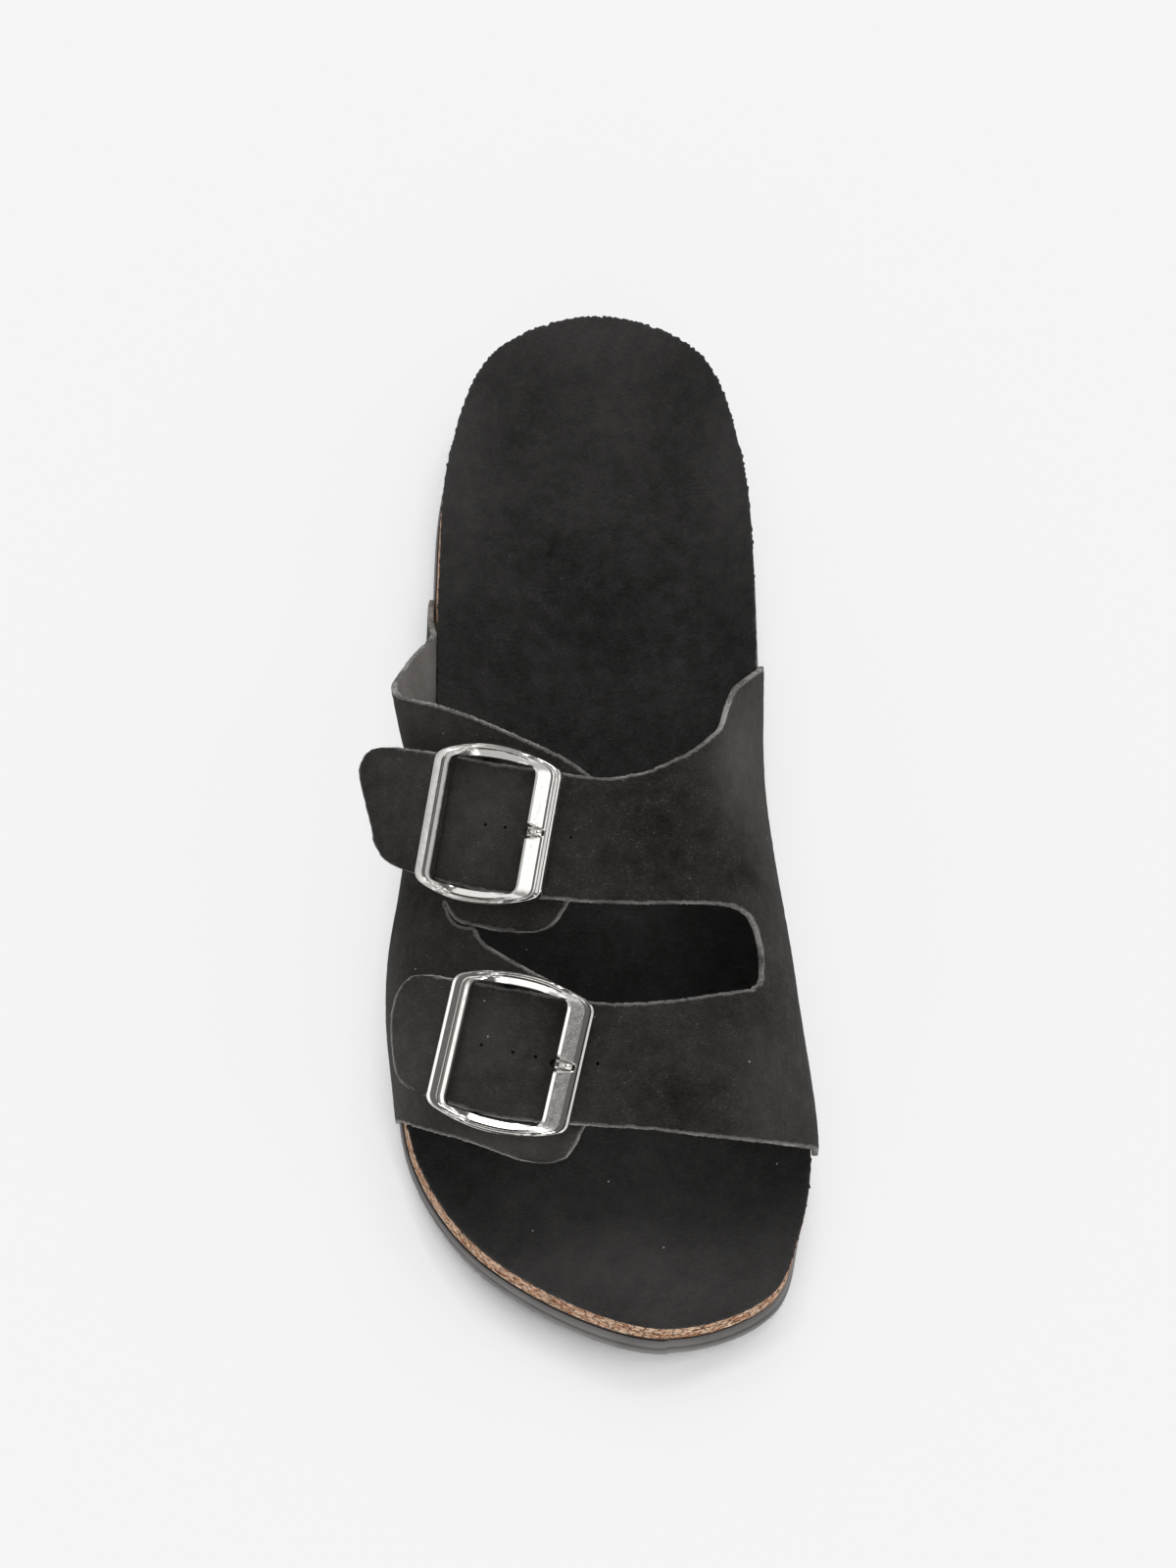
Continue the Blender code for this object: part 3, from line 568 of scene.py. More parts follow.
def cork_shape():
    """Cork footbed, whose pitted side leans out to its foot."""
    levels = []
    for k, share in enumerate(np.linspace(0, 1, CORK_LEVELS)):
        out = 0.9 * share + 0.1 * share**2
        rough = CORK_PITS * np.sin(np.pi * share)
        levels.append((
            beyond(OUTER_FLARE, out, 0.0, rough, k),
            beyond(INNER_FLARE, out, 0.0, rough, k + 20),  # other seeds than the outer side's
            cork_level(share),
        ))
    return sole_layer(levels, HIDDEN_ACROSS, HIDDEN_ACROSS)


def outsole_shape():
    """Outsole with its side steps and tread; the first band under its top is painted dark as the shadow
    under the cork's lip.
    """
    levels = []
    for depth, out in (*OUTSOLE_SIDE, (OUTSOLE, -0.3)):
        outer, inner = (outsole_offset(flare, depth, out) for flare in (OUTER_FLARE, tucked_flare))
        levels.append((outer, inner, tread if depth == OUTSOLE else outsole_level(depth)))
    return sole_layer(levels, HIDDEN_ACROSS, TREAD_ACROSS, shadow_bands=1)


def section(angle, foot_x, foot_z, crown_x, crown_z, fullness):
    """Point of a cross-section: 0 degrees at its foot, 90 degrees at its crown."""
    turn = np.radians(angle)
    across = np.abs(np.cos(turn)) ** (2 / fullness)
    up = np.abs(np.sin(turn)) ** (2 / fullness)
    return crown_x + (foot_x - crown_x) * across, foot_z + (crown_z - foot_z) * up


def foot_height(y):
    """Height at which the upper goes under the cork."""
    return spring(y) + OUTSOLE + GAP


def outer_form(angle, y):
    """Inside face of the outer piece, from the sole at 0 degrees to the crown at 90."""
    foot = edge_x(OUTER_SIDE, y) - OUTER_FLARE(y) - GAP
    x, z = section(angle, foot, foot_height(y), CROWN_X(y), CROWN_Z(y), SIDE_FULLNESS(y))
    over = np.clip((angle - FLARE_ANGLES[0]) / (FLARE_ANGLES[1] - FLARE_ANGLES[0]), 0, 1)
    x = x - TOP_FLARE(y) * np.sin(np.pi * over) ** 1.5
    x = x - SIDE_BULGE(y) * np.sin(np.pi * np.clip(angle / BULGE_END, 0, 1)) ** 2
    return np.stack(np.broadcast_arrays(x, y, z), axis=-1)


def strap_shape(y):
    """Reach, fullness and lift of the strap that runs through y."""
    return [np.where(y < STRAP_SPLIT, front, rear) for front, rear in zip(FRONT_STRAP, REAR_STRAP)]


def strap_form(angle, y):
    """Face that the inner piece and its straps follow: over 90 degrees on the inner side."""
    foot = edge_x(INNER_SIDE, y) + INNER_FLARE(y) + GAP
    inner = section(angle, foot, foot_height(y), CROWN_X(y), CROWN_Z(y), INNER_FULLNESS)
    reach, fullness, _ = strap_shape(y)
    outer = section(angle, CROWN_X(y) - reach, foot_height(y), CROWN_X(y), CROWN_Z(y), fullness)
    x, z = np.where(angle > 90, inner, outer)
    return np.stack(np.broadcast_arrays(x, y, z), axis=-1)


def dents(angle, y):
    """Depth of the soft creases at a place on the inner piece."""
    depth = 0.0
    for at_angle, at_y, across, along, size in CREASES:
        away = ((angle - at_angle) / along) ** 2 + ((y - at_y) / across) ** 2
        depth = depth + size * np.exp(-away)
    return depth


def strap_height(angle, y):
    """Height of a strap's inside over its form: onto the tab's end, then over the buckle's axle."""
    lift = strap_shape(y)[2]
    return (LEATHER - FUSED) * SUNK_SHARE(angle) + lift * LIFT_SHARE(angle) - dents(angle, y)


def raised(form, angle, y, height):
    """Points at a height over a form's face."""
    low = np.clip(angle - 0.1, 0.0, 179.8)
    along = form(low + 0.2, y) - form(low, y)
    back = form(angle, y + 0.5) - form(angle, y - 0.5)
    out = np.cross(along, back)
    out /= np.linalg.norm(out, axis=-1, keepdims=True)
    return form(angle, y) + out * np.asarray(height)[..., None]


def strap_face(angle, y, depth):
    """Point of the inner piece or a strap, depth 0 on its inside and 1 on its outside."""
    return raised(strap_form, angle, y, strap_height(angle, y) + LEATHER * depth)


def outer_face(angle, y, depth):
    """Point of the outer piece, depth 0 on its inside and 1 on its outside."""
    return raised(outer_form, angle, y, LEATHER * depth)


def forked_sheet(edges, fork, ends, foot_angle):
    """Angle, y and quads of a panel that splits into a front and a rear strip.

    edges are the front and rear edge of the front strip, then of the rear strip. fork is the
    split's end from the front strip's corner to the rear strip's.
    """
    front, front_inner, rear_inner, rear = (smooth(table, 1) for table in edges)
    even = np.linspace(0, 1, STRAP_ROWS + 1)
    shares = (even + (1 - np.cos(np.pi * even)) / 2) / 2
    strips = (
        (front, front_inner, fork[0], smooth(ends, 1)),
        (rear_inner, rear, fork[-1], smooth(ends, 2)),
    )
    angles = []
    places = []
    quads = []

    def add_run(angle, y):
        start = len(angles)
        angles.extend(angle)
        places.extend(y)
        return list(range(start, start + len(angle)))

    def panel_row(corner_angle, corner_y):
        angle = np.linspace(foot_angle, corner_angle, PANEL_COLUMNS + 1)
        share = (corner_y - front(corner_angle)) / (rear(corner_angle) - front(corner_angle))
        return add_run(angle, front(angle) + share * (rear(angle) - front(angle)))

    def strip_row(strip, share, start):
        low, high, corner, end = strip
        angle = np.linspace(corner[0], end(share), STRAP_COLUMNS + 1)[1:]
        return [start] + add_run(angle, low(angle) + share * (high(angle) - low(angle)))

    def fill(rows):
        for row, after in zip(rows, rows[1:]):
            for k in range(len(row) - 1):
                quads.append((row[k], row[k + 1], after[k + 1], after[k]))

    panel = []
    strip_starts = []
    for low, high, corner, end in strips:
        y = [low(corner[0]) + share * (high(corner[0]) - low(corner[0])) for share in shares]
        if strip_starts and len(fork) > 1:
            panel += [panel_row(*point) for point in fork[1:-1]]
        elif strip_starts:
            y = y[1:]
        rows = [panel_row(corner[0], place) for place in y]
        panel += rows
        strip_starts.append([row[-1] for row in panel[-len(shares):]])
    fill(panel)
    for strip, starts in zip(strips, strip_starts):
        fill([strip_row(strip, share, start) for share, start in zip(shares, starts)])
    return np.array(angles), np.array(places), quads


def edge_directions(outside, inside, quads):
    """Cut edges of a sheet, and at each of their points the direction out of the sheet."""
    owner = {(quad[k], quad[(k + 1) % 4]): quad for quad in quads for k in range(4)}
    cut = [pair for pair in owner if pair[::-1] not in owner]
    direction = np.zeros_like(outside)
    for a, b in cut:
        along = outside[b] - outside[a]
        out = np.cross(along, outside[a] - inside[a])
        middle = outside[list(owner[a, b])].mean(axis=0)
        if out @ (middle - outside[a]) > 0:
            out = -out
        out /= np.linalg.norm(out) + 1e-9
        direction[a] += out
        direction[b] += out
    length = np.linalg.norm(direction, axis=1, keepdims=True)
    return cut, direction / np.where(length > 0, length, 1)


def thick_sheet(face, angle, y, quads):
    """Shape of a sheet of leather with rounded cut edges: finish 0 outside, 1 cut, 2 inside."""
    chance = np.random.default_rng(len(quads))
    outside = face(angle, y, 1.0 + chance.normal(0, NAP / LEATHER, len(angle)))
    inside = face(angle, y, 0.0)
    cut, direction = edge_directions(outside, inside, quads)
    inward = chance.normal(0, EDGE_FUZZ, len(angle))[:, None]
    shape = Shape()
    edge_points = sorted({point for pair in cut for point in pair})
    rings = []
    for depth, out in CUT_EDGE:
        level = inside + (outside - inside) * depth + direction * (out + inward)
        if depth == 1.0:
            index = shape.add(level)
            shape.faces += [list(quad) for quad in quads]
            shape.finish += [0] * len(quads)
        elif depth == 0.0:
            index = shape.add(level)
            shape.faces += [[index[k] for k in reversed(quad)] for quad in quads]
            shape.finish += [2] * len(quads)
        else:
            index = dict(zip(edge_points, shape.add(level[edge_points])))
        rings.append(index)
    for ring, after in zip(rings, rings[1:]):
        for a, b in cut:
            shape.face((ring[b], ring[a], after[a], after[b]), 1)
    return shape


def inner_piece():
    """Piece on the inner side with the two straps."""
    edges = (FRONT_STRAP_FRONT, FRONT_STRAP_REAR, REAR_STRAP_FRONT, REAR_STRAP_REAR)
    fork = open_curve(CUTOUT_END, FORK_STEPS)
    return thick_sheet(strap_face, *forked_sheet(edges, fork, STRAP_ENDS, 180.0))


def outer_piece():
    """Piece on the outer side with the two tabs."""
    edges = (OUTER_FRONT, FRONT_TAB_REAR, REAR_TAB_FRONT, OUTER_REAR)
    return thick_sheet(outer_face, *forked_sheet(edges, NOTCH_END, TAB_ENDS, 0.0))


def buckle_place(front_edge, rear_edge, at, turn, stretch, shift):
    """Function from a buckle's own coordinates, along, across and out of the strap, to the shoe's."""
    low, high = smooth(front_edge, 1), smooth(rear_edge, 1)

    def middle(angle):
        angle = np.array([angle])
        return strap_face(angle, (low(angle) + high(angle)) / 2, 1.0)[0]

    origin = middle(at)
    along = middle(at + 1) - middle(at - 1)
    along /= np.linalg.norm(along)
    angle, y = np.full(2, at), np.array([origin[1] - 1, origin[1] + 1])
    across = np.diff(strap_face(angle, y, 1.0), axis=0)[0]
    across -= along * (across @ along)
    across /= np.linalg.norm(across)
    origin = origin + across * shift
    cos, sin = np.cos(np.radians(turn)), np.sin(np.radians(turn))
    axes = np.array([along * cos - across * sin, across * cos + along * sin, np.cross(along, across)])

    def place(points):
        points = np.array(points, float)
        points[:, 0] *= np.where(points[:, 0] < 0, stretch, 1.0)
        points[:, 2] -= points[:, 0] ** 2 / (2 * BUCKLE_CURVE)
        return origin + points @ axes

    return place


def cut_corners(ring):
    """Closed ring of points with every corner cut at a quarter of its two sides."""
    after = np.roll(ring, -1, axis=0)
    return np.stack([ring * 0.75 + after * 0.25, ring * 0.25 + after * 0.75], axis=1).reshape(-1, 2)


def frame_line(prong_end, tail_end, side, bow, corner):
    """Fine ring round a buckle: straight ends, bowed sides and rounded corners."""
    straight = side - corner
    ends = [straight * share for share in (0.0, 0.12, 0.3, 0.6, 1.0)]
    half = [(prong_end, across) for across in ends]
    half.append((prong_end, side))
    for share in (0.7, 0.25, -0.25, -0.7):
        half.append((share * (prong_end if share > 0 else tail_end), side + bow * (1 - share**2)))
    half.append((-tail_end, side))
    half += [(-tail_end, across) for across in reversed(ends)]
    ring = np.array(half + [(along, -across) for along, across in reversed(half[1:-1])])
    for _ in range(4):
        ring = cut_corners(ring)
    return ring


def frame_shape():
    """Cast frame with a notch for the prong and two lugs; the prong bar's slope has finish 2."""
    opening, outside = frame_line(*FRAME_OPENING), frame_line(*FRAME_OUTSIDE)
    along = (opening + outside)[:, 0] / 2
    bar = step(*BOW_RUN, np.abs(along))
    prong_bar = np.where(along > 0, bar, 0)
    parts = np.array([bar - prong_bar, prong_bar, 1 - bar])
    shape = Shape()
    rings = []
    for row in FRAME_SECTION:
        share, level = np.array(row[0::2]) @ parts, np.array(row[1::2]) @ parts
        half = NOTCH_HALF[0] + (NOTCH_HALF[1] - NOTCH_HALF[0]) * share / NOTCH_REACH
        away = np.abs(opening[:, 1] + (outside - opening)[:, 1] * share)
        dip = step(1.0, 0.0, away / half) * step(NOTCH_REACH + 0.05, NOTCH_REACH - 0.05, share)
        floor = np.minimum(level, NOTCH_FLOOR)
        level = np.maximum(level - NOTCH_DEPTH * dip * prong_bar, floor)
        flat = opening + (outside - opening) * share[:, None]
        rings.append(shape.add(np.column_stack([flat, FRAME_REST + FRAME_HEIGHT * level])))
    for ring, after in zip(rings, rings[1:] + rings[:1]):
        shape.band(ring, after)
    for band in FACET_BANDS:
        for k in np.flatnonzero(prong_bar > 0.95):
            shape.finish[band * len(along) + k] = 2
    add_lug(shape, LUG_INNER, LUG_OUTER)
    add_lug(shape, -LUG_OUTER, -LUG_INNER)
    return shape


def add_lug(shape, near, far):
    """Adds a block that hangs under the frame and holds one end of the axle."""
    low = PRONG_PATH[0][1] - AXLE_RADIUS - 2 * GAP
    high = FRAME_REST + FRAME_HEIGHT / 2
    corners = ((-LUG_HALF, low), (LUG_HALF, low), (LUG_HALF, high), (-LUG_HALF, high))
    sides = []
    for across in (near, far):
        sides.append(shape.add([(AXLE_ALONG + along, across, up) for along, up in corners]))
        shape.face(sides[-1], 1)
    shape.band(*sides, 1)


def rod(shape, path, side, radii, sides=18, finish=0):
    """Adds a round closed rod along a path whose every run is square to the side direction."""
    path = np.array(path, float)
    side = np.array(side, float)
    run = np.gradient(path, axis=0)
    run /= np.linalg.norm(run, axis=1, keepdims=True)
    other = np.cross(run, side)
    turn = np.linspace(0, 2 * np.pi, sides, endpoint=False)
    rings = []
    for centre, second, radius in zip(path, other, radii):
        circle = [np.cos(angle) * side + np.sin(angle) * second for angle in turn]
        rings.append(shape.add([centre + radius * point for point in circle]))
    for ring, after in zip(rings, rings[1:]):
        shape.band(ring, after, finish)
    shape.face(rings[0], finish)
    shape.face(rings[-1], finish)


def pin_shape():
    """Axle, and the prong that is hooked round it, with a rounded tip."""
    shape = Shape()
    height = PRONG_PATH[0][1]
    axle = [(AXLE_ALONG, across, height) for across in np.linspace(-AXLE_HALF, AXLE_HALF, 5)]
    # the axle takes the second metal, nearly black as painted shade
    rod(shape, axle, (1, 0, 0), [AXLE_RADIUS] * 5, finish=1)
    path = open_curve([(along, 0.0, up) for along, up in PRONG_PATH], 6)
    to_tip = np.linalg.norm(path - path[-1], axis=1)
    tip = np.clip(to_tip / PRONG_RADIUS, 0.02, 1)
    rod(shape, path, (0, 1, 0), PRONG_RADIUS * np.sqrt(1 - (1 - tip) ** 2))
    return shape


def hole_cutters(place, holes):
    """Round cutters through a strap: one for its free holes and one for the prong's hole."""
    free = Shape()
    for along, across in holes:
        path = [(along, across, height) for height in HOLE_REACH]
        rod(free, path, (0, 1, 0), [HOLE_RADIUS] * 2, 12)
    prong = Shape()
    path = [(along, 0.0, height) for along, height in PRONG_PATH[1:]]
    rod(prong, path, (0, 1, 0), [PRONG_RADIUS + PRONG_PLAY] * len(path), 12)
    for shape in (free, prong):
        shape.points = list(place(np.array(shape.points)))
    return free, prong


def linear(red, green, blue):
    """Scene colour from a display colour of 0 to 255."""
    value = np.array((red, green, blue)) / 255
    return tuple(np.where(value < 0.04045, value / 12.92, ((value + 0.055) / 1.055) ** 2.4))


class Nodes:
    """A node tree while it grows."""

    def __init__(self, tree):
        self.tree = tree

    def node(self, kind, inputs=None, **settings):
        node = self.tree.nodes.new(kind)
        for name, value in settings.items():
            setattr(node, name, value)
        for name, value in (inputs or {}).items():
            if isinstance(value, bpy.types.NodeSocket):
                self.tree.links.new(value, node.inputs[name])
            else:
                node.inputs[name].default_value = value
        return node

    def math(self, operation, a, b=0.0):
        """Result of one arithmetic operation."""
        return self.node("ShaderNodeMath", {0: a, 1: b}, operation=operation).outputs[0]

    def add(self, value, more, weight):
        """Value with a weighted other value added."""
        inputs = {0: more, 1: weight, 2: value}
        return self.node("ShaderNodeMath", inputs, operation="MULTIPLY_ADD").outputs[0]

    def ramp(self, value, low, high, to_low=0.0, to_high=1.0, interpolation="SMOOTHSTEP"):
        """Change of a value from one range to another."""
        inputs = {"Value": value, "From Min": low, "From Max": high, "To Min": to_low, "To Max": to_high}
        return self.node("ShaderNodeMapRange", inputs, interpolation_type=interpolation).outputs[0]


class Look(Nodes):
    """One material: a Principled shader and the nodes that feed it."""

    def __init__(self, name, colour, roughness, **sockets):
        self.material = bpy.data.materials.new(name)
        self.material.use_nodes = True
        super().__init__(self.material.node_tree)
        self.shader = self.tree.nodes["Principled BSDF"]
        self.shader.inputs["Base Color"].default_value = (*colour, 1)
        self.shader.inputs["Roughness"].default_value = roughness
        for socket, value in sockets.items():
            self.shader.inputs[socket.replace("_", " ")].default_value = value
        self.place = self.node("ShaderNodeTexCoord").outputs["Object"]

    def stretched(self, x, y, z):
        """Place on the shoe with each axis scaled."""
        return self.node("ShaderNodeMapping", {"Vector": self.place, "Scale": (x, y, z)}).outputs[0]

    def noise(self, size, detail=4.0, roughness=0.6, place=None):
        """Noise whose marks are about size millimetres wide."""
        inputs = {
            "Vector": place or self.place,
            "Scale": 1 / (size * MM),
            "Detail": detail,
            "Roughness": roughness,
        }
        return self.node("ShaderNodeTexNoise", inputs).outputs["Fac"]

    def cells(self, size, feature="F1", place=None):
        """Cells about size millimetres wide."""
        inputs = {"Vector": place or self.place, "Scale": 1 / (size * MM)}
        return self.node("ShaderNodeTexVoronoi", inputs, feature=feature)

    def mix(self, share, first, second):
        """Blend of two colours."""
        inputs = {"Fac": share}
        for name, colour in (("Color1", first), ("Color2", second)):
            inputs[name] = colour if isinstance(colour, bpy.types.NodeSocket) else (*colour, 1)
        return self.node("ShaderNodeMixRGB", inputs).outputs[0]

    def bump(self, height, distance, normal=None, strength=1.0):
        """Relief of about distance millimetres."""
        inputs = {"Height": height, "Distance": distance * MM, "Strength": strength}
        if normal:
            inputs["Normal"] = normal
        return self.node("ShaderNodeBump", inputs).outputs[0]

    def feed(self, **sockets):
        """Links values to the shader's sockets."""
        for name, value in sockets.items():
            self.tree.links.new(value, self.shader.inputs[name.replace("_", " ")])


def add_lint(look, colour, size, share, pale):
    """Sparse pale specks of lint over a colour."""
    spots = look.cells(size)
    chosen = look.ramp(spots.outputs["Color"], 1 - share, 1 - share + 0.02)
    near = look.ramp(spots.outputs["Distance"], 0.06, 0.03)
    return look.mix(look.math("MULTIPLY", chosen, near), colour, pale)


def suede_look(name, dark, light, rim_colour=None):
    """Napped suede: cloudy shade with painted light and shade from the points, short nap, pale fibre
    flecks, a pale rim along cut edges that is partly rubbed wear and partly a painted highlight, and a
    few specks of lint.
    """
    look = Look(name, light, 0.95, Sheen_Weight=0.04, Sheen_Roughness=0.5, Specular_IOR_Level=0.12)
    clouds = look.noise(22.0, 3.0)
    patches = look.noise(4.0, 4.0, 0.65)
    nap_and_painted_light = look.noise(0.7, 5.0, 0.75, look.stretched(0.7, 1.5, 1.0))
    # starts from the stored base shade with its painted light and shade
    shade = look.node("ShaderNodeAttribute", attribute_name="nap_and_painted_light").outputs["Fac"]
    for layer, weight in ((clouds, 0.5), (patches, 0.45), (nap_and_painted_light, 0.75)):
        shade = look.add(shade, look.math("SUBTRACT", layer, 0.5), weight)
    colour = look.mix(look.ramp(shade, 0.0, 1.0, interpolation="LINEAR"), dark, light)
    flecks = look.ramp(look.noise(0.4, 2.0, 0.6, look.stretched(0.6, 1.4, 1.0)), 0.62, 0.74)
    flecks = look.math("MULTIPLY", flecks, look.ramp(patches, 0.44, 0.60))
    colour = look.mix(flecks, colour, rim_colour or light)
    if rim_colour:
        # pale rim along the cut edges: partly rubbed wear, partly a painted highlight of the lit edge
        rim = look.node("ShaderNodeAttribute", attribute_name="rim").outputs["Fac"]
        rubbed_and_lit = look.add(rim, look.noise(1.6, 3.0), -0.9)
        colour = look.mix(look.ramp(rubbed_and_lit, 0.1, -0.25), colour, rim_colour)
    colour = add_lint(look, colour, 4.0, 0.21, linear(205, 205, 205))
    relief = look.bump(patches, 0.25)
    look.feed(Base_Color=colour, Normal=look.bump(nap_and_painted_light, 0.3, relief))
    return look.material


def cut_edge_look():
    """Raw cut edge of the leather: paler, fibrous, and brighter as painted light where the stored painted
    light is high.
    """
    look = Look("cut leather edge", linear(98, 96, 95), 0.95, Specular_IOR_Level=0.15)
    fibre = look.noise(0.5, 4.0, 0.7)
    # the stored painted light brightens the edge where light falls on it
    nap_and_painted_light = look.node("ShaderNodeAttribute", attribute_name="nap_and_painted_light").outputs["Fac"]
    shade = look.add(look.math("ADD", look.noise(6.0, 4.0), fibre), nap_and_painted_light, 0.5)
    colour = look.mix(look.ramp(shade, 0.92, 1.47), linear(78, 76, 74), linear(166, 163, 160))
    look.feed(Base_Color=colour, Normal=look.bump(fibre, 0.2))
    return look.material


def lining_look():
    """Smooth grey inside of the leather."""
    look = Look("leather lining", linear(88, 84, 81), 0.85, Specular_IOR_Level=0.25)
    grain = look.noise(1.1, 4.0, 0.6)
    shade = look.math("ADD", look.noise(14.0, 3.0), look.math("MULTIPLY", grain, 0.5))
    colour = look.mix(look.ramp(shade, 0.5, 1.0), linear(106, 101, 97), linear(130, 125, 121))
    colour = add_lint(look, colour, 5.0, 0.3, linear(215, 213, 210))
    look.feed(Base_Color=colour, Normal=look.bump(grain, 0.12))
    return look.material


def cork_look():
    """Pressed cork: flat-lying granules with dark gaps and streaks."""
    look = Look("pressed cork", linear(184, 152, 129), 0.85, Specular_IOR_Level=0.25)
    flat = look.stretched(1.0, 1.0, 2.6)
    granules = look.cells(2.2, place=flat)
    tint = look.ramp(granules.outputs["Color"], 0.1, 0.9)
    colour = look.mix(tint, linear(196, 134, 92), linear(252, 216, 184))
    fibres = look.noise(0.9, 4.0, 0.7, look.stretched(0.6, 0.6, 2.0))
    colour = look.mix(look.ramp(fibres, 0.52, 0.66), colour, linear(255, 236, 216))
    streaks = look.noise(1.3, 5.0, 0.7, look.stretched(0.8, 0.8, 4.0))
    colour = look.mix(look.ramp(streaks, 0.54, 0.64), colour, linear(74, 42, 28))
    gaps = look.cells(2.2, "DISTANCE_TO_EDGE", flat).outputs["Distance"]
    colour = look.mix(look.ramp(gaps, 0.1, 0.0), colour, linear(80, 48, 32))
    relief = look.math("ADD", look.ramp(gaps, 0.0, 0.12), look.math("MULTIPLY", streaks, -0.8))
    look.feed(Base_Color=colour, Normal=look.bump(relief, 0.25))
    return look.material


def foam_look(name, dark, light):
    """Moulded foam rubber: fine even grain, dull. Its warm grey lies between two display values."""
    warm = np.array((0, -3, -4))
    look = Look(name, linear(*(light + warm)), 0.62, Specular_IOR_Level=0.35)
    grain = look.noise(0.6, 3.0, 0.6)
    shade = look.math("ADD", look.noise(18.0, 3.0), look.math("MULTIPLY", grain, 0.4))
    colour = look.mix(look.ramp(shade, 0.45, 0.95), linear(*(dark + warm)), linear(*(light + warm)))
    look.feed(Base_Color=colour, Normal=look.bump(grain, 0.1))
    look.feed(Roughness=look.ramp(grain, 0.3, 0.7, 0.52, 0.7))
    return look.material


def metal_look(name, dullness, pit_depth):
    """Polished cast metal with casting marks and fine pits, whose colour is darkened where they are deep
    as painted shade.
    """
    bright = (0.79, 0.77, 0.74)
    look = Look(name, bright, 0.12, Metallic=1.0)
    marks = look.noise(1.2, 4.0, 0.6)
    pits = look.noise(0.4, 2.0)
    # painted shade: the colour darkens in the deep parts of the pits
    shade = look.ramp(pits, 0.35, 0.65, 1 - 6 * pit_depth, 1.0)
    relief = look.bump(pits, pit_depth)
    look.feed(Base_Color=look.mix(shade, (0.2, 0.2, 0.2), bright))
    look.feed(Roughness=look.ramp(marks, 0.35, 0.75, dullness, dullness + 0.14))
    look.feed(Normal=look.bump(look.noise(6.0, 2.0), 0.06, relief))
    return look.material


def dull_metal_in_painted_shade_look(name):
    """Unpolished metal under the frame, nearly black as painted shade."""
    look = Look(name, (0.05, 0.05, 0.05), 0.6, Metallic=1.0)
    look.feed(Normal=look.bump(look.noise(0.8), 0.08))
    return look.material


def make_object(name, shape, looks=()):
    """Mesh object in metres with smooth faces, whose finishes pick from the looks."""
    data = bpy.data.meshes.new(name)
    data.from_pydata((np.array(shape.points) * MM).tolist(), [], shape.faces)
    for look in looks:
        data.materials.append(look)
    data.polygons.foreach_set("material_index", shape.finish)
    work = bmesh.new()
    work.from_mesh(data)
    bmesh.ops.recalc_face_normals(work, faces=work.faces)
    work.to_mesh(data)
    work.free()
    data.shade_smooth()
    made = bpy.data.objects.new(name, data)
    bpy.context.scene.collection.objects.link(made)
    return made


def cut(target, cutter):
    """Cuts a helper object out of a piece and removes the helper."""
    work = target.modifiers.new("cut", "BOOLEAN")
    work.operation = "DIFFERENCE"
    work.solver = "EXACT"
    work.object = cutter
    bpy.context.view_layer.update()
    seen = target.evaluated_get(bpy.context.evaluated_depsgraph_get())
    target.data = bpy.data.meshes.new_from_object(seen)
    target.modifiers.clear()
    bpy.data.objects.remove(cutter)


def mark_painted_light(made, base, places):
    """Stores on each point a base shade with painted light and shade: paler places for sheen and light,
    darker places for shade.
    """
    points = np.array([vertex.co[:2] for vertex in made.data.vertices]) / MM
    shade = np.full(len(points), base)
    for x, y, width, length, change in places:
        away = ((points[:, 0] - x) / width) ** 2 + ((points[:, 1] - y) / length) ** 2
        shade += change * np.exp(-away)
    made.data.attributes.new("nap_and_painted_light", "FLOAT", "POINT").data.foreach_set("value", shade)


def mark_rim(made):
    """Stores on each point its distance in millimetres from the nearest cut edge."""
    data = made.data
    edge_points = {k for face in data.polygons if face.material_index == 1 for k in face.vertices}
    tree = KDTree(len(edge_points))
    for k in edge_points:
        tree.insert(data.vertices[k].co, k)
    tree.balance()
    away = [tree.find(vertex.co)[2] / MM for vertex in data.vertices]
    data.attributes.new("rim", "FLOAT", "POINT").data.foreach_set("value", away)


def dress(made, node, angle=40.0):
    """Lets a piece stand for a node of the frame, with edges sharp past an angle in degrees."""
    made.data.set_sharp_from_angle(angle=np.radians(angle))
    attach(made, "root")
    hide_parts(node)


def make_sole():
    """Insole cover, cork footbed and outsole."""
    suede = suede_look("insole suede", linear(20, 20, 19), linear(81, 79, 78))
    insole = make_object("insole_cover", insole_shape(), [suede])
    # painted light and shade on the insole: paler heel, cup slopes and toe, darker middle
    mark_painted_light(insole, 0.3, INSOLE_PAINTED_LIGHT)
    dress(insole, "insole")
    dress(make_object("cork_footbed", cork_shape(), [cork_look()]), "midsole")
    # the second, dark foam is painted shadow under the cork's lip
    foam = [foam_look("foam rubber", 104, 124), foam_look("foam rubber in painted shadow", 26, 44)]
    dress(make_object("foam_outsole", outsole_shape(), foam), "outsole", 50.0)


def make_upper(rear_place, front_place):
    """The two pieces of leather, with holes in the straps."""
    suede = suede_look("oiled suede", linear(20, 19, 18), linear(86, 83, 80), linear(112, 109, 107))
    looks = [suede, cut_edge_look(), lining_look()]
    straps = make_object("strap_piece", inner_piece(), looks)
    for place, holes in ((rear_place, REAR_HOLES), (front_place, FRONT_HOLES)):
        for cutter in hole_cutters(place, holes):
            cut(straps, make_object("cutter", cutter))
    side = make_object("side_piece", outer_piece(), looks)
    for made in (straps, side):
        mark_rim(made)
        # painted light and shade on the upper: darker dents, paler lit sides and edges
        mark_painted_light(made, 0.3, UPPER_PAINTED_LIGHT)
        dress(made, "upper", 60.0)


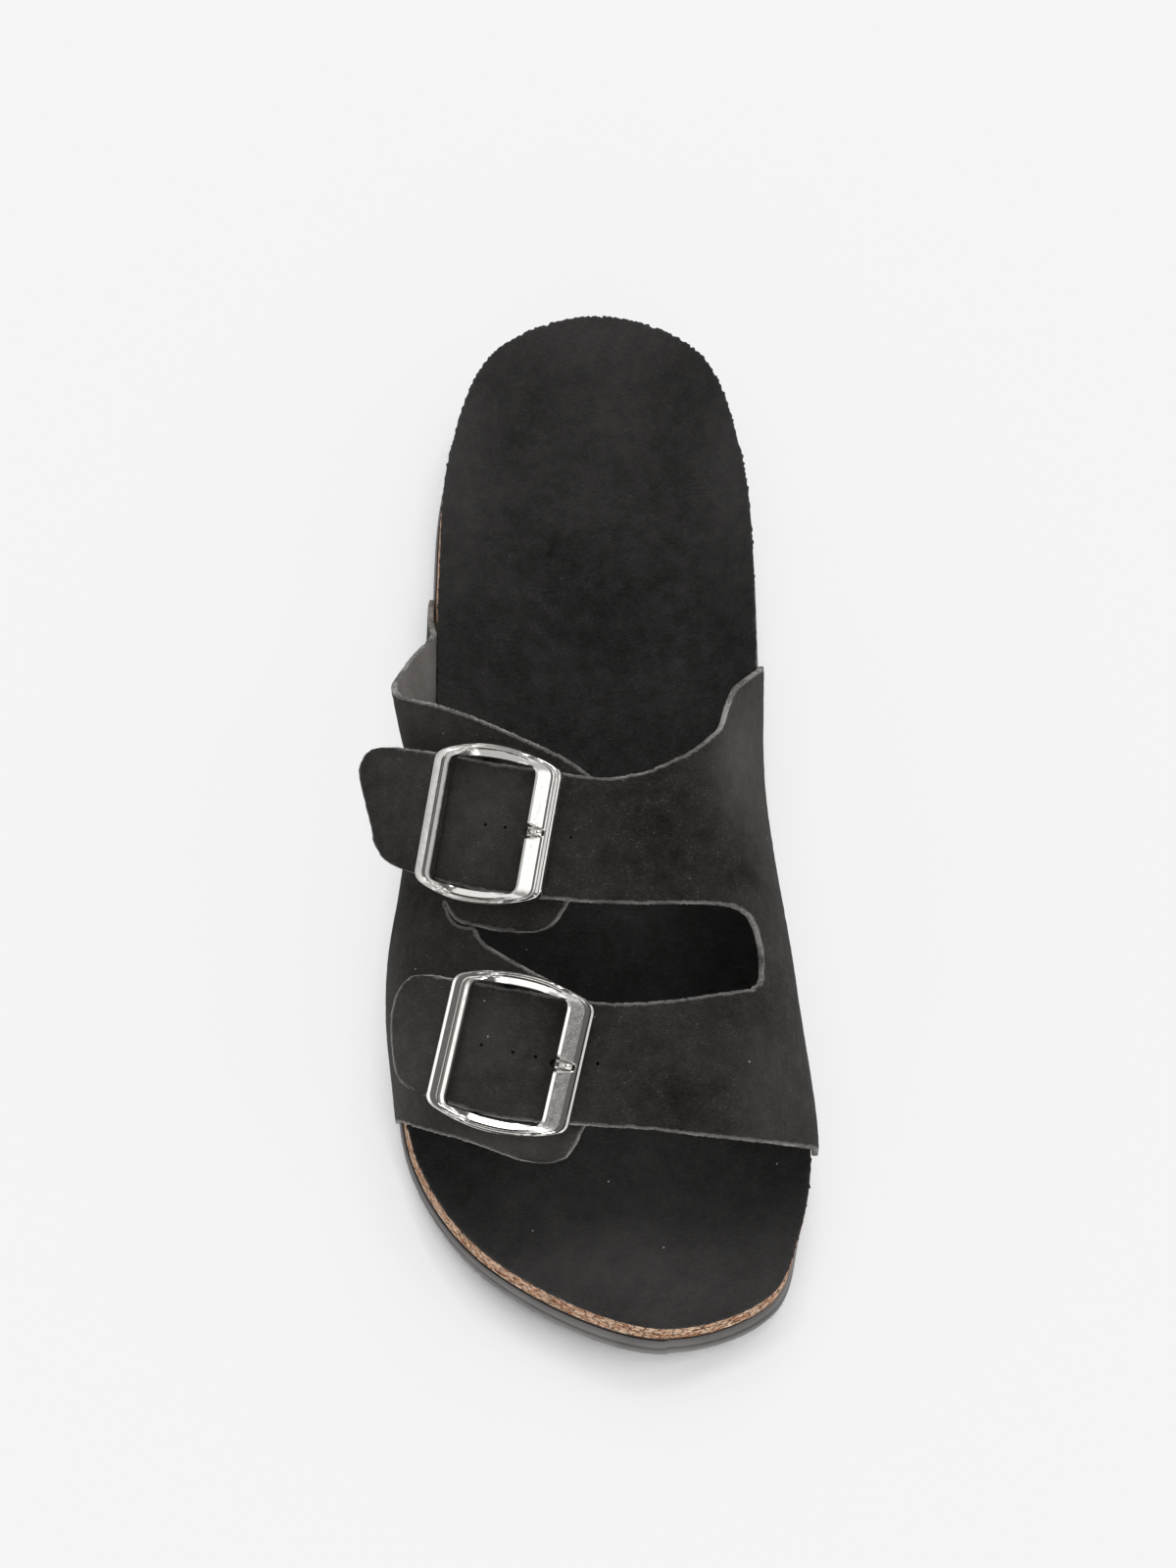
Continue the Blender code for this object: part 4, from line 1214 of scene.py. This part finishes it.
def make_buckle(name, place, slope_dullness, slope_pits):
    """Frame and pin; the slope of the prong's bar has its own finish."""
    metals = [
        metal_look(f"{name} metal", 0.05, 0.006),
        dull_metal_in_painted_shade_look(f"{name} inner metal"),
        metal_look(f"{name} slope metal", slope_dullness, slope_pits),
    ]
    for part, shape in (("frame", frame_shape()), ("pin", pin_shape())):
        shape.points = list(place(np.array(shape.points)))
        made = make_object(f"{name}_{part}_finish", shape, metals)
        dress(made, f"{name}_{part}", 9.0)


def make_floor():
    """Wide pale floor that glows, with a close shadow that is deeper at the toe.

    It is one triangle, so that no edge crosses the view.
    """
    look = Look("pale floor", (0.12, 0.12, 0.12), 1.0, Specular_IOR_Level=0.0)
    look.shader.inputs["Emission Color"].default_value = (1, 1, 1, 1)
    leaning = look.node("ShaderNodeCombineXYZ", dict(zip("XYZ", SHADOW_LEAN))).outputs[0]
    inputs = {"Distance": SHADOW_REACH * MM, "Normal": leaning}
    near = look.node("ShaderNodeAmbientOcclusion", inputs, samples=2)
    shadow = look.math("POWER", look.math("SUBTRACT", 1.0, near.outputs["AO"]), SHADOW_FALLOFF)
    look.feed(Emission_Strength=look.add(FLOOR_GLOW, shadow, -SHADOW_DEPTH))
    bpy.ops.mesh.primitive_circle_add(vertices=3, radius=FLOOR_RADIUS, fill_type="NGON")
    floor = bpy.context.object
    floor.name = "floor"
    floor.data.materials.append(look.material)


def add_sun(name, toward, strength, spread):
    """Distant light from a direction, with a wide disc for soft shadows."""
    light = bpy.data.lights.new(name, "SUN")
    light.energy = strength
    light.angle = np.radians(spread)
    made = bpy.data.objects.new(name, light)
    made.rotation_mode = "QUATERNION"
    made.rotation_quaternion = Vector(toward).to_track_quat("Z", "Y")
    bpy.context.scene.collection.objects.link(made)


def make_light():
    """Light tent and two soft suns."""
    bpy.context.scene.world = studio_world()
    for sun in SUNS:
        add_sun(*sun)
    bpy.context.scene.view_settings.view_transform = "Standard"


def studio_world():
    """Light tent: dim overhead, pale low down, with bright panels at both sides, the toe and the heel."""
    world = bpy.data.worlds.new("studio")
    world.use_nodes = True
    nodes = Nodes(world.node_tree)
    toward = nodes.node("ShaderNodeTexCoord").outputs["Generated"]
    toward = nodes.node("ShaderNodeSeparateXYZ", {0: toward}).outputs
    light = nodes.ramp(toward["Z"], *SKY)
    for axis, both, start, full, low, high, strength in PANELS:
        reading = nodes.math("ABSOLUTE", toward[axis]) if both else toward[axis]
        side, above = nodes.ramp(reading, start, full), nodes.ramp(toward["Z"], low, high)
        light = nodes.add(light, nodes.math("MULTIPLY", side, above), strength)
    world.node_tree.links.new(light, world.node_tree.nodes["Background"].inputs["Color"])
    return world


def make_camera():
    """Camera at the photo's angle, over the toe."""
    elevation = np.radians(CAMERA_ELEVATION)
    back = Vector((0.0, -np.cos(elevation), np.sin(elevation)))
    camera = bpy.data.cameras.new("camera")
    camera.sensor_width = CAMERA_SENSOR
    camera.lens = CAMERA_LENS
    camera.clip_start = 0.01
    made = bpy.data.objects.new("camera", camera)
    made.location = (Vector(CAMERA_TARGET) + back * CAMERA_DISTANCE) * MM
    made.rotation_mode = "QUATERNION"
    made.rotation_quaternion = back.to_track_quat("Z", "Y")
    bpy.context.scene.collection.objects.link(made)
    bpy.context.scene.camera = made


def build():
    """The dressed shoe on its floor, with light and camera."""
    rear_place = buckle_place(REAR_STRAP_FRONT, REAR_STRAP_REAR, *REAR_BUCKLE)
    front_place = buckle_place(FRONT_STRAP_FRONT, FRONT_STRAP_REAR, *FRONT_BUCKLE)
    make_sole()
    make_upper(rear_place, front_place)
    make_buckle("buckle_rear", rear_place, 0.05, 0.006)
    # deep pits on the front slope darken it with more painted shade
    make_buckle("buckle_front", front_place, 0.36, 0.09)
    make_floor()
    make_light()
    make_camera()


build()
bpy.context.view_layer.update()
